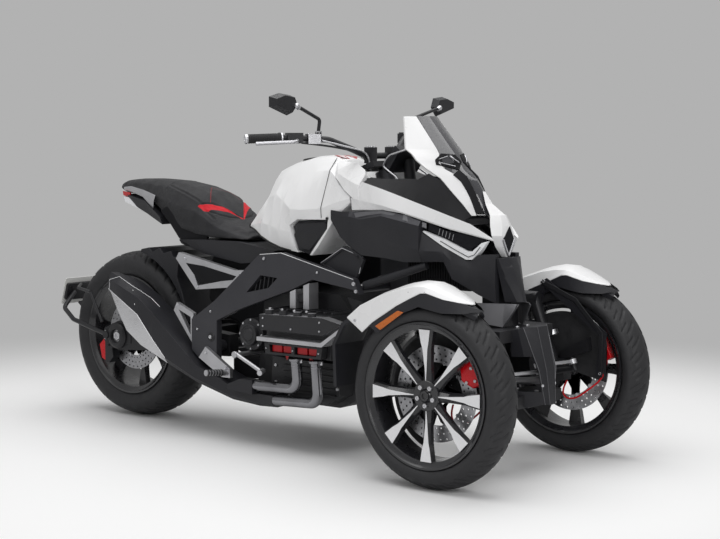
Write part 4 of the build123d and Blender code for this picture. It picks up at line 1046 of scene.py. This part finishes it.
softened("intake_covers", [charcoal, frame_grey], 0.002, paint=intake_paint)
black_seal = Finish("black_seal", (0.010, 0.010, 0.011), 0.6)
black_seal.vary(black_seal.noise(80, 3), (0.007, 0.007, 0.008), (0.016, 0.016, 0.017))
black_seal.bump(black_seal.noise(600, 2), 0.0003)
TANK_REAR = ((0.1185, 0.775), (0.1245, 0.781), (0.1225, 0.786), (0.116, 0.790), (0.060, 0.792))
TANK_HEM = ((-0.114, 0.120, 0.776), (-0.078, 0.1345, 0.766), (-0.036, 0.1535, 0.748),
            (0.020, 0.1685, 0.729), (0.080, 0.1795, 0.714), (0.137, 0.1865, 0.706))
SHUT_LINE = ((0.250, 0.067, 1.0315), (0.272, 0.133, 0.9905), (0.290, 0.204, 0.8625), (0.292, 0.2035, 0.826))
INTAKE_EDGE = ((0.291, 0.2050, 0.671), (0.386, 0.2050, 0.727), (0.473, 0.1985, 0.700),
               (0.462, 0.2050, 0.642))
for side, hand in SIDES:
    bm = bmesh.new()
    rods(bm, side, [(-0.116, y, z) for y, z in TANK_REAR], 0.004, 12)
    rods(bm, side, TANK_HEM, 0.003, 10)
    settle(bm, f"tank_seal_{hand}", "chassis", black_seal, sharp=60)
    bm = bmesh.new()
    rods(bm, side, SHUT_LINE, 0.0011)
    settle(bm, f"tank_shut_line_{hand}", "chassis", black_seal, sharp=60)
    plate(f"intake_grille_{hand}", "chassis", side,
          [(0.150, 0.762), (0.172, 0.716), (0.222, 0.708), (0.262, 0.752), (0.250, 0.790), (0.170, 0.790)],
          0.180, 0.1865, satin_black, 0.003, 3)
    bm = bmesh.new()
    rods(bm, side, INTAKE_EDGE, 0.0013)
    settle(bm, f"intake_edge_{hand}", "chassis", cast_silver)
    bm = bmesh.new()
    bolts(bm, side, 0.204, ((0.320, 0.826), (0.348, 0.839), (0.452, 0.700), (0.436, 0.622)), 0.006, 0.004)
    settle(bm, f"cowl_bolts_{hand}", "chassis", satin_black, bevel=0.0006)
# Tapered red trim on the tank's crown, with a round filler cap behind it
CROWN_TRIM = ((0.204, 0.026, 1.0405), (0.252, 0.044, 1.0345), (0.270, 0.018, 1.0275),
              (0.244, 0.012, 1.0365))
bm = bmesh.new()
for side, hand in SIDES:
    bm.faces.new([bm.verts.new((x, side * y, z)) for x, y, z in CROWN_TRIM])
bmesh.ops.recalc_face_normals(bm, faces=bm.faces)
bmesh.ops.solidify(bm, geom=bm.faces[:], thickness=0.0008)
settle(bm, "tank_red_trim", "chassis", glass_red)
FILLER = ((0, 0.0), (0.003, 0.0), (0.003, 0.018), (0.001, 0.020), (0.001, 0.024), (0.003, 0.026),
          (0.003, 0.034), (0.0, 0.037))
bm = turned(FILLER, (0.080, 0, 1.0245), axis=(-0.16, 0, 1), steps=48)
settle(bm, "filler_cap", "chassis", satin_black, bevel=0.0006)

# ---------------------------------------------------------------- Side blades and cowls
# Long painted blades run from the tank to the nose over grained charcoal cowls; a lighter ledge
# follows the cowl's upper edge.
guard_grey = Finish("guard_grey", (0.16, 0.16, 0.17), 0.42, Metallic=0.7)
guard_grey.vary(guard_grey.noise(9, 3), (0.11, 0.11, 0.12), (0.22, 0.22, 0.23))
guard_grey.bump(guard_grey.noise(520, 3), 0.0003)
softened("side_blades", pearl, 0.003, segments=3)


def cowl_paint(middle, normal):
    """The ledge under the blade is a shade lighter."""
    return 1 if middle.x < 0.75 and middle.z > 0.815 and normal.z > 0.25 else 0


softened("side_cowls", [charcoal, frame_grey], 0.003, segments=3, paint=cowl_paint)
LEDGE = (((0.440, 0.2055, 0.848), (0.455, 0.2140, 0.834)), ((0.480, 0.2085, 0.853), (0.510, 0.2180, 0.843)),
         ((0.572, 0.2215, 0.861), (0.572, 0.2225, 0.851)), ((0.665, 0.2120, 0.848), (0.672, 0.2205, 0.830)),
         ((0.728, 0.1790, 0.822), (0.728, 0.1800, 0.806)))
for side, hand in SIDES:
    bm = bmesh.new()
    strip(bm, side, LEDGE, (0, 0.0012, 0.0012), (0, -0.001, -0.001))
    settle(bm, f"cowl_ledge_{hand}", "chassis", guard_grey, sharp=40)

# ---------------------------------------------------------------- Headlamps
# Smoked lenses under the blades with bright reflector fins in them, and a milky light bar folded
# along the lower edge, with a thin black line on it.
lens_dark = Finish("lamp_lens", (0.012, 0.012, 0.015), 0.16, Specular_IOR_Level=0.12)
lens_dark.vary(lens_dark.noise(60, 2, 0.5, (1, 1, 4)), (0.006, 0.006, 0.008), (0.018, 0.018, 0.021))
softened("headlamps", lens_dark, 0.002)
bar_white = Finish("light_bar", (0.85, 0.86, 0.88), 0.25, Coat_Weight=0.6)
bar_white.vary(bar_white.noise(200, 2), (0.78, 0.79, 0.81), (0.9, 0.9, 0.92))
softened("lamp_bars", bar_white, 0.002, segments=3)
LAMP_FOLD = ((0.7755, 0.167, 0.766), (0.8185, 0.142, 0.737), (0.8545, 0.119, 0.714), (0.8715, 0.109, 0.721),
             (0.8875, 0.098, 0.747))
for side, hand in SIDES:
    bm = bmesh.new()
    for i in range(5):
        x = 0.764 + i * 0.010
        y = 0.1765 - (x - 0.733) * 0.53
        z = 0.800 - (x - 0.733) * 0.45
        bar(bm, (x, side * y, z), (x + 0.004, side * (y - 0.002), z + 0.020), 0.0013, sides=8)
    settle(bm, f"lamp_fins_{hand}", "chassis", ground_steel)
    bm = bmesh.new()
    rods(bm, side, LAMP_FOLD, 0.0012)
    settle(bm, f"lamp_line_{hand}", "chassis", satin_black)

# ---------------------------------------------------------------- Nose
# The painted beak with its dark inlay, the spine and shroud below it, and cast guards where the
# cowls end above the arms.
softened("nose_beak", pearl, 0.0022, segments=3)
plate("shroud_core", "chassis", 1, [(0.855, 0.470), (0.855, 0.680), (0.915, 0.660), (0.925, 0.470)],
      -0.040, 0.040, deep_black, 0.003)
INLAY = ((0.9370, 0, 0.813), (0.9325, -0.0310, 0.771), (0.9318, 0, 0.722), (0.9325, 0.0310, 0.771))
bm = bmesh.new()
skin(bm, [[(x + ahead, y, z) for x, y, z in INLAY] for ahead in (-0.004, 0.0015)])
settle(bm, "beak_inlay", "chassis", deep_black, bevel=0.0006)
bm = bmesh.new()
for y in (-0.0385, 0.0385):
    bar(bm, (0.9345, y * 0.86, 0.7700), (0.9340, 0, 0.7140), 0.0036, sides=12)
settle(bm, "beak_trim", "chassis", cast_silver)
softened("nose_spine", charcoal, 0.004, segments=3)


def guard_paint(middle, normal):
    """The guards are black on top."""
    return 1 if normal.z > 0.5 else 0


softened("nose_guards", [guard_grey, charcoal], 0.003, segments=3, paint=guard_paint)
# (x, y, z) of the front and of the rear edge, at the top and at the foot of each panel
SHROUD_PANELS = (
    (((1.041, 0.0690, 0.488), (1.000, 0.0860, 0.480)), ((1.0745, 0.0565, 0.396), (1.004, 0.0840, 0.392))),
    (((1.0956, 0.0342, 0.279), (1.016, 0.0790, 0.279)), ((1.0985, 0.0245, 0.238), (1.028, 0.0760, 0.222))),
)
for side, hand in SIDES:
    bm = bmesh.new()
    rods(bm, side, ((1.040, 0.069, 0.490), (1.0905, 0.0505, 0.350), (1.0985, 0.0245, 0.236)), 0.0013)
    rods(bm, side, ((1.068, 0.0285, 0.490), (1.1023, 0.0243, 0.350), (1.1123, 0.0163, 0.236)), 0.001)
    settle(bm, f"shroud_edge_{hand}", "chassis", guard_grey)
    # Sides of the shroud, folded back from its bright edge above and below the way of the tie rods
    bm = bmesh.new()
    for panel in SHROUD_PANELS:
        rings = []
        for front, rear in panel:
            fold = [a * 0.55 + b * 0.45 for a, b in zip(front, rear)]
            ring = ((front, 0), (fold, -0.003), (rear, 0), (rear, 0.003), (front, 0.003))
            rings.append([(x - inside, side * (y - inside), z) for (x, y, z), inside in ring])
        skin(bm, rings)
    settle(bm, f"shroud_wing_{hand}", "chassis", charcoal, sharp=12, bevel=0.0008)
    bm = bmesh.new()
    for x, y, z in ((1.0945, 0.036, 0.300), (1.052, 0.050, 0.462)):
        rounded_nut(bm, (x, side * y, z), (1, side * 0.8, 0.1), 0.005, 0.004)
    settle(bm, f"shroud_bolts_{hand}", "chassis", bright_zinc)

# ---------------------------------------------------------------- Screen
# A thin smoked acrylic screen between two painted side panels, with a black band along each edge and
# a vent of bright bars in the recess at its foot.
smoked = Finish("smoked_screen", (0.055, 0.055, 0.062), 0.06, Coat_Weight=0.8)
smoked.feed(Roughness=smoked.between(smoked.noise(14, 3), 0.3, 0.7, 0.04, 0.12),
            Alpha=smoked.between(smoked.noise(3, 2), 0.2, 0.8, 0.70, 0.84))
softened("windscreen", smoked, 0.001)
softened("screen_sides", pearl, 0.002, segments=3)
SCREEN_BAND = (
    ((0.751, 0.063, 0.980), (0.754, 0.033, 0.996)), ((0.776, 0.052, 0.957), (0.785, 0.030, 0.973)),
    ((0.794, 0.049, 0.931), (0.811, 0.028, 0.931)), ((0.808, 0.045, 0.904), (0.824, 0.026, 0.905)),
    ((0.819, 0.043, 0.878), (0.836, 0.022, 0.877)), ((0.829, 0.040, 0.852), (0.851, 0.019, 0.851)),
)
# radius and both ends of each bright bar in the vent
VENT_BARS = (
    (0.0024, (0.719, 0.042, 1.040), (0.729, 0.035, 1.032)),
    (0.0016, (0.729, 0.035, 1.032), (0.743, 0.020, 1.018)),
    (0.0012, (0.704, 0.084, 1.020), (0.743, 0.041, 1.006)),
    (0.0010, (0.701, 0.078, 1.030), (0.717, 0.050, 1.040)),
)
VENT = ((0.694, 0.088, 1.030), (0.701, 0.063, 1.050), (0.723, 0.014, 1.046), (0.743, 0.004, 1.023),
        (0.754, 0.033, 0.996), (0.734, 0.057, 1.003), (0.701, 0.091, 1.013))
for side, hand in SIDES:
    bm = bmesh.new()
    strip(bm, side, SCREEN_BAND, (0.0022, 0.0022, 0.0022), (-0.001, -0.001, -0.001))
    skin(bm, [[(x + out, side * (y + out * 0.6), z + out * 0.7) for x, y, z in VENT]
              for out in (-0.001, 0.0024)])
    settle(bm, f"screen_band_{hand}", "chassis", deep_black, sharp=50, bevel=0.0005)
    bm = bmesh.new()
    for width, start, end in VENT_BARS:
        rods(bm, side, [(x + 0.004, y + 0.002, z + 0.003) for x, y, z in (start, end)], width, 12)
    settle(bm, f"screen_vent_{hand}", "chassis", cast_silver)

# ---------------------------------------------------------------- Cockpit
# Dark stays behind the screen carry a slim display in a bezel; a bent bright rod braces it on each
# side.
softened("cockpit", charcoal, 0.003, segments=3)
DISPLAY_SIZE = (0.082, 0.154, 0.0016)
display = Finish("display_glass", (0.004, 0.005, 0.007), 0.06, Coat_Weight=1.0)
display.vary(display.noise(30, 2), (0.003, 0.004, 0.006), (0.008, 0.010, 0.014))
bm = bmesh.new()
bmesh.ops.create_cube(bm, size=1.0, matrix=Matrix.Translation((0.4945, 0, 1.0374))
                      @ Matrix.Rotation(math.radians(-55), 4, "Y") @ Matrix.Diagonal((*DISPLAY_SIZE, 1)))
settle(bm, "display", "chassis", display, bevel=0.0006)


def pipe(name, body, side, route, radius, finish):
    """A line that is held all the way, as a smooth tube along a few points."""
    curve = bpy.data.curves.new(name, "CURVE")
    curve.dimensions = "3D"
    curve.bevel_depth = radius
    curve.bevel_resolution = 3
    curve.use_fill_caps = True
    spline = curve.splines.new("NURBS")
    spline.points.add(len(route) - 1)
    for place, (x, y, z) in zip(spline.points, route):
        place.co = (x, side * y, z, 1)
    spline.order_u = 3
    spline.use_endpoint_u = True
    spline.resolution_u = 10
    shape = bpy.data.objects.new(name, curve)
    bm = bmesh.new()
    bm.from_mesh(bpy.data.meshes.new_from_object(shape))
    bpy.data.objects.remove(shape)
    bmesh.ops.remove_doubles(bm, verts=bm.verts, dist=0.00002)
    bmesh.ops.recalc_face_normals(bm, faces=bm.faces)
    return settle(bm, name, body, finish, sharp=60)


for side, hand in SIDES:
    pipe(f"screen_brace_{hand}", "chassis", side,
         [(0.474, 0.088, 1.006), (0.498, 0.100, 1.040), (0.540, 0.104, 1.052), (0.592, 0.100, 1.066)],
         0.0035, bright_zinc)
    pipe(f"screen_stay_{hand}", "chassis", side,
         [(0.474, 0.088, 1.006), (0.500, 0.094, 0.990), (0.540, 0.092, 0.968), (0.560, 0.088, 0.930)],
         0.003, bright_zinc)

# ---------------------------------------------------------------- Brake hoses
# Short red hoses of reinforced rubber, one held along each knuckle: looped below the axle and up
# into the front caliper.
BRAKE_HOSE = ((0.955, 0.338, 0.262), (0.938, 0.330, 0.226), (0.956, 0.328, 0.199), (0.990, 0.330, 0.201),
              (1.016, 0.332, 0.216), (1.052, 0.336, 0.244), (1.082, 0.346, 0.270), (1.096, 0.360, 0.306),
              (1.094, 0.372, 0.345))
for side, hand in SIDES:
    pipe(f"brake_hose_{hand}", f"front_{hand}_knuckle", side, BRAKE_HOSE, 0.0032, red_paint)

# ---------------------------------------------------------------- Seat
# A foam pad under grained black cover, stretched over one hard base that runs back into a grained
# tail cover. Red inlays meet in a V at the waist, with a line of red stitches behind them.
seat_cover = Finish("seat_cover", (0.020, 0.020, 0.023), 0.60, Specular_IOR_Level=0.3, Sheen_Weight=0.04)
place = seat_cover.node("SeparateXYZ", sockets={0: seat_cover.place()})
along = Shade(seat_cover.tree, place.socket.node.outputs["X"])
height = Shade(seat_cover.tree, place.socket.node.outputs["Z"])
off_centre = seat_cover.node("Math", {"operation": "ABSOLUTE"},
                             {0: Shade(seat_cover.tree, place.socket.node.outputs["Y"])})
inlay_rear = off_centre * -0.93 - 0.2645
inlay_front = (off_centre * -0.64 - 0.2606).math("MINIMUM", off_centre * -1.34 - 0.1825)
inlay = (along > inlay_rear) * (inlay_front > along) * (off_centre < 0.126) * (height > 0.775)
stitch_gap = (along - off_centre * 0.9 + 0.431).math("ABSOLUTE")
dashes = (off_centre * 160.0).math("FRACT")
stitches = (stitch_gap < 0.0016) * (dashes < 0.72) * (off_centre < 0.086) * (height > 0.82)
hide = seat_cover.node("TexVoronoi", {"feature": "DISTANCE_TO_EDGE"},
                       {"Vector": seat_cover.place(), "Scale": 420.0})
dye = seat_cover.tint(seat_cover.noise(18, 4, 0.6), (0.016, 0.016, 0.018), (0.028, 0.028, 0.031))
red_hide = seat_cover.tint(seat_cover.noise(90, 3), (0.52, 0.006, 0.014), (0.72, 0.012, 0.026))
seat_cover.vary(inlay.math("MAXIMUM", stitches * 0.5), dye, red_hide, seat_cover.noise(25, 3), 0.52,
                0.68)
seat_cover.bump(seat_cover.between(hide, 0.0, 0.12, 0.0, 1.0), 0.0004)

PAD_SHRINK, PAD_VOXEL, PAD_REACH = 0.005, 0.006, 0.006
PAD_FOOT = 0.7305
PAD_PRESSURE, PAD_STEPS = 4, 20
SEAM_REACH, SEAM_DEPTH, SEAM_WIDTH = 0.020, 0.0034, 0.0035
PUFF_HEIGHT, PUFF_AT, PUFF_WIDTH = 0.0012, 0.009, 0.004
# (x, distance from centre, z): edge of the hard tail cover, side seam, skirt seam, waist seam
PAD_SEAMS = (
    ((-0.572, 0.008, 0.933), (-0.574, 0.070, 0.922), (-0.576, 0.106, 0.901), (-0.556, 0.126, 0.873),
     (-0.534, 0.135, 0.826), (-0.510, 0.137, 0.793), (-0.479, 0.138, 0.762)),
    ((-0.560, 0.085, 0.916), (-0.499, 0.101, 0.902), (-0.440, 0.112, 0.886), (-0.407, 0.114, 0.874),
     (-0.372, 0.118, 0.858), (-0.347, 0.124, 0.831), (-0.300, 0.120, 0.800)),
    ((-0.479, 0.139, 0.764), (-0.350, 0.147, 0.758), (-0.273, 0.146, 0.749), (-0.201, 0.142, 0.736),
     (-0.130, 0.134, 0.731)),
    ((-0.371, 0.118, 0.854), (-0.347, 0.083, 0.853), (-0.296, 0.041, 0.822), (-0.262, 0.000, 0.800)),
    ((-0.346, 0.126, 0.831), (-0.298, 0.093, 0.813), (-0.277, 0.061, 0.803), (-0.262, 0.000, 0.798)),
)


def finished_mesh(piece):
    """The piece's mesh with its modifiers carried out."""
    graph = bpy.context.evaluated_depsgraph_get()
    made = bpy.data.meshes.new_from_object(piece.evaluated_get(graph))
    piece.modifiers.clear()
    piece.data = made
    return made


def nearest_on(run, spot):
    """Distance from a spot to a run of straight stretches."""
    best = 1.0
    for start, end in zip(run, run[1:]):
        stretch = end - start
        share = min(1.0, max(0.0, (spot - start).dot(stretch) / stretch.length_squared))
        best = min(best, (start + stretch * share - spot).length)
    return best


pad_bm = bmesh.new()
pad_bm.from_mesh(nodes["seat"].data)
bmesh.ops.remove_doubles(pad_bm, verts=pad_bm.verts, dist=0.00002)
pad_bm.normal_update()
pad_moves = [(v, v.normal.copy()) for v in pad_bm.verts]
for vert, outward in pad_moves:
    vert.co -= outward * PAD_SHRINK
pad_mesh = bpy.data.meshes.new("seat_pad")
pad_bm.to_mesh(pad_mesh)
pad_bm.free()
pad = bpy.data.objects.new("seat_pad", pad_mesh)
bpy.context.scene.collection.objects.link(pad)
remesh = pad.modifiers.new("remesh", "REMESH")
remesh.mode = "VOXEL"
remesh.voxel_size = PAD_VOXEL
finished_mesh(pad)
resting = [v.co.copy() for v in pad.data.vertices]
cloth = pad.modifiers.new("cloth", "CLOTH")
cloth.settings.use_pressure = True
cloth.settings.uniform_pressure_force = PAD_PRESSURE
cloth.settings.effector_weights.gravity = 0
cloth.settings.quality = 5
cloth.point_cache.frame_start, cloth.point_cache.frame_end = 1, PAD_STEPS
for step in range(1, PAD_STEPS + 1):
    bpy.context.scene.frame_set(step)
finished_mesh(pad)
bpy.context.scene.frame_set(1)
for vert, start in zip(pad.data.vertices, resting):
    move = vert.co - start
    if move.length > PAD_REACH:
        move *= PAD_REACH / move.length
    vert.co = start + move
    vert.co.z = max(vert.co.z, min(start.z, PAD_FOOT))
smooth = pad.modifiers.new("subdivision", "SUBSURF")
smooth.levels = smooth.render_levels = 1
finished_mesh(pad)
seam_runs = [[Vector(spot) for spot in run] for run in PAD_SEAMS]
outwards = [v.normal.copy() for v in pad.data.vertices]
for vert, outward in zip(pad.data.vertices, outwards):
    spot = Vector((vert.co.x, abs(vert.co.y), vert.co.z))
    gap = min(nearest_on(run, spot) for run in seam_runs)
    if gap < SEAM_REACH:
        pulled = SEAM_DEPTH * math.exp(-(gap / SEAM_WIDTH)**2)
        puffed = PUFF_HEIGHT * math.exp(-((gap - PUFF_AT) / PUFF_WIDTH)**2)
        vert.co -= outward * (pulled - puffed)
for face in pad.data.polygons:
    face.use_smooth = True
pad.data.materials.clear()
pad.data.materials.append(seat_cover.material)
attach(pad, "chassis")
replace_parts(pad, "seat")

# ---------------------------------------------------------------- Tail
# A dark moulding under the seat's end, with a folded bright panel along each flank, a red lamp
# across the back that wraps round the sides and a clear lens below it.
softened("tail_cowl", charcoal, 0.004, segments=3)
softened("tail_lamp", red_lens, 0.002, segments=3)
# (x, y, z) along the upper edge, the fold and the lower edge of the flank's panel
FLANK_PANEL = (
    ((-0.843, 0.0685, 0.905), (-0.785, 0.086, 0.910), (-0.700, 0.1015, 0.898), (-0.617, 0.119, 0.880)),
    ((-0.842, 0.0715, 0.899), (-0.785, 0.0885, 0.899), (-0.702, 0.1055, 0.884), (-0.622, 0.1225, 0.858)),
    ((-0.836, 0.0705, 0.893), (-0.780, 0.086, 0.887), (-0.706, 0.0985, 0.870), (-0.640, 0.1085, 0.826)),
)
for side, hand in SIDES:
    bm = bmesh.new()
    rows = [[bm.verts.new((x, side * y, z)) for x, y, z in row] for row in FLANK_PANEL]
    for above, below in zip(rows, rows[1:]):
        for i in range(3):
            bm.faces.new((above[i], above[i + 1], below[i + 1], below[i]))
    bmesh.ops.recalc_face_normals(bm, faces=bm.faces)
    bmesh.ops.solidify(bm, geom=bm.faces[:], thickness=0.0022)
    settle(bm, f"tail_panel_{hand}", "chassis", cast_silver, sharp=20, bevel=0.0006)
    plate(f"side_lamp_{hand}", "chassis", side,
          [(-0.838, 0.889), (-0.796, 0.884), (-0.800, 0.868), (-0.834, 0.872)],
          0.074, 0.0815, red_lens, 0.001)
    plate(f"clear_lens_{hand}", "chassis", side,
          [(-0.834, 0.869), (-0.802, 0.865), (-0.776, 0.846), (-0.694, 0.812), (-0.698, 0.804),
           (-0.798, 0.838), (-0.826, 0.846)], 0.074, 0.0805, bar_white, 0.001)

# ---------------------------------------------------------------- Handlebar, grips, controls, mirrors
# A one-piece black tube bar in two clamps, ribbed rubber grips with turned alloy ends, cast levers
# and black switch blocks, and faceted mirrors on bent stems.
softened("handlebar", satin_black, 0.003, segments=3)
grip_rubber = Finish("grip_rubber", (0.014, 0.014, 0.015), 0.75)
grip_rubber.vary(grip_rubber.noise(60, 3), (0.010, 0.010, 0.011), (0.022, 0.022, 0.023))
grip_rubber.bump(grip_rubber.noise(900, 2), 0.0004)
BAR_ROUTE = ((0.172, 0.434, 1.100), (0.240, 0.340, 1.104), (0.332, 0.212, 1.097), (0.370, 0.130, 1.063),
             (0.389, 0.075, 1.040))
BAR_LINE = ((0.334, 0.248, 1.094), (0.350, 0.215, 1.086), (0.374, 0.160, 1.072), (0.402, 0.106, 1.058),
            (0.410, 0.088, 1.036), (0.408, 0.080, 1.010), (0.404, 0.070, 0.990))
BAR_CABLE = ((0.284, 0.296, 1.086), (0.316, 0.246, 1.080), (0.352, 0.172, 1.068), (0.384, 0.104, 1.052),
             (0.396, 0.082, 1.024), (0.397, 0.078, 1.004), (0.394, 0.072, 0.986))
LEVER_SIDE = Vector((0.811, 0.585))
MIRROR_EDGE = ((0.394, 1.2135), (0.405, 1.2395), (0.455, 1.2455), (0.497, 1.2345), (0.497, 1.2100),
               (0.417, 1.1850))
# (along the bar, radius) of one rib of the grip and of the bar's end
RIB = ((-0.002, 0.0160), (0.0012, 0.0160), (0.0018, 0.0150), (0.0034, 0.0150))
BAR_END = ((-0.007, 0.0), (-0.007, 0.0158), (-0.011, 0.0172), (-0.017, 0.0160), (-0.0185, 0.0120),
           (-0.0185, 0.0075), (-0.0160, 0.0070), (-0.0160, 0.0))


def control_paint(middle, normal):
    """The lever, ahead of the bar, is bare alloy."""
    ahead = (Vector((middle.x, abs(middle.y))) - Vector(BAR_ROUTE[1][:2])).dot(LEVER_SIDE)
    return 1 if ahead > 0.0235 else 0


softened("hand_controls", [satin_black, cast_silver], 0.0025, paint=control_paint, segments=3)
softened("mirrors", satin_black, 0.0035, segments=3)
mirror_glass = Finish("mirror_glass", (0.75, 0.77, 0.79), 0.04, Metallic=1.0)
mirror_glass.feed(Roughness=mirror_glass.between(mirror_glass.noise(40, 2), 0.3, 0.7, 0.03, 0.07))
for side, hand in SIDES:
    outer, inner = [Vector((x, side * y, z)) for x, y, z in BAR_ROUTE[:2]]
    run = (inner - outer).normalized()
    ribs = [(-0.006, 0.0114), (-0.006, 0.0158)]
    for i in range(16):
        ribs += [(along + i * 0.0060, radius) for along, radius in RIB]
    ribs += [(0.097, 0.0160), (0.100, 0.0178), (0.106, 0.0178), (0.106, 0.0114)]
    bm = turned(ribs, outer, run, 40, closed=True)
    grip = settle(bm, f"grip_ribs_{hand}", "steering", grip_rubber, sharp=30)
    if hand == "left":
        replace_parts(grip, "grips")
    settle(turned(BAR_END, outer, run, 40), f"bar_end_{hand}", "steering", bright_zinc,
           sharp=30)
    bm = turned([(0.107, 0.0114), (0.107, 0.0180), (0.1125, 0.0180), (0.1125, 0.0114)], outer, run, 40,
                closed=True)
    settle(bm, f"grip_collar_{hand}", "steering", bright_zinc, sharp=30, bevel=0.0008)
    bm = bmesh.new()
    bmesh.ops.create_uvsphere(bm, u_segments=20, v_segments=12, radius=0.0095,
                              matrix=Matrix.Translation((0.353, side * 0.400, 1.2105)))
    bar(bm, (0.352, side * 0.388, 1.204), (0.353, side * 0.398, 1.210), 0.0085)
    rounded_nut(bm, (0.318, side * 0.248, 1.118), (0, 0, 1), 0.012, 0.008)
    settle(bm, f"mirror_joint_{hand}", "steering", bright_zinc)
    bm = bmesh.new()
    glass = bm.faces.new([bm.verts.new((0.3216, side * y, z)) for y, z in MIRROR_EDGE])
    bmesh.ops.recalc_face_normals(bm, faces=bm.faces)
    bmesh.ops.solidify(bm, geom=[glass], thickness=0.0012)
    settle(bm, f"mirror_glass_{hand}", "steering", mirror_glass)
    # Cap of the fluid pot, clamp bolts, and the line that runs down along the bar
    pot = Vector(BAR_ROUTE[1]) + (Vector(BAR_ROUTE[2]) - Vector(BAR_ROUTE[1])) * 0.66
    bm = bmesh.new()
    for i in (-1, 1):
        rounded_nut(bm, (pot.x + i * 0.010, side * (pot.y - i * 0.014), pot.z + 0.0172), (0, 0, 1), 0.0035,
                    0.002, 12)
    for x in (0.384, 0.404):
        for y in (0.050, 0.066):
            rounded_nut(bm, (x, side * y, 1.0702), (0, 0, 1), 0.0045, 0.004, 12)
    settle(bm, f"bar_bolts_{hand}", "steering", bright_zinc)
    pipe(f"bar_line_{hand}", "steering", side, BAR_LINE, 0.0028, bright_zinc)
    pipe(f"bar_cable_{hand}", "steering", side, BAR_CABLE, 0.0036, rubber)
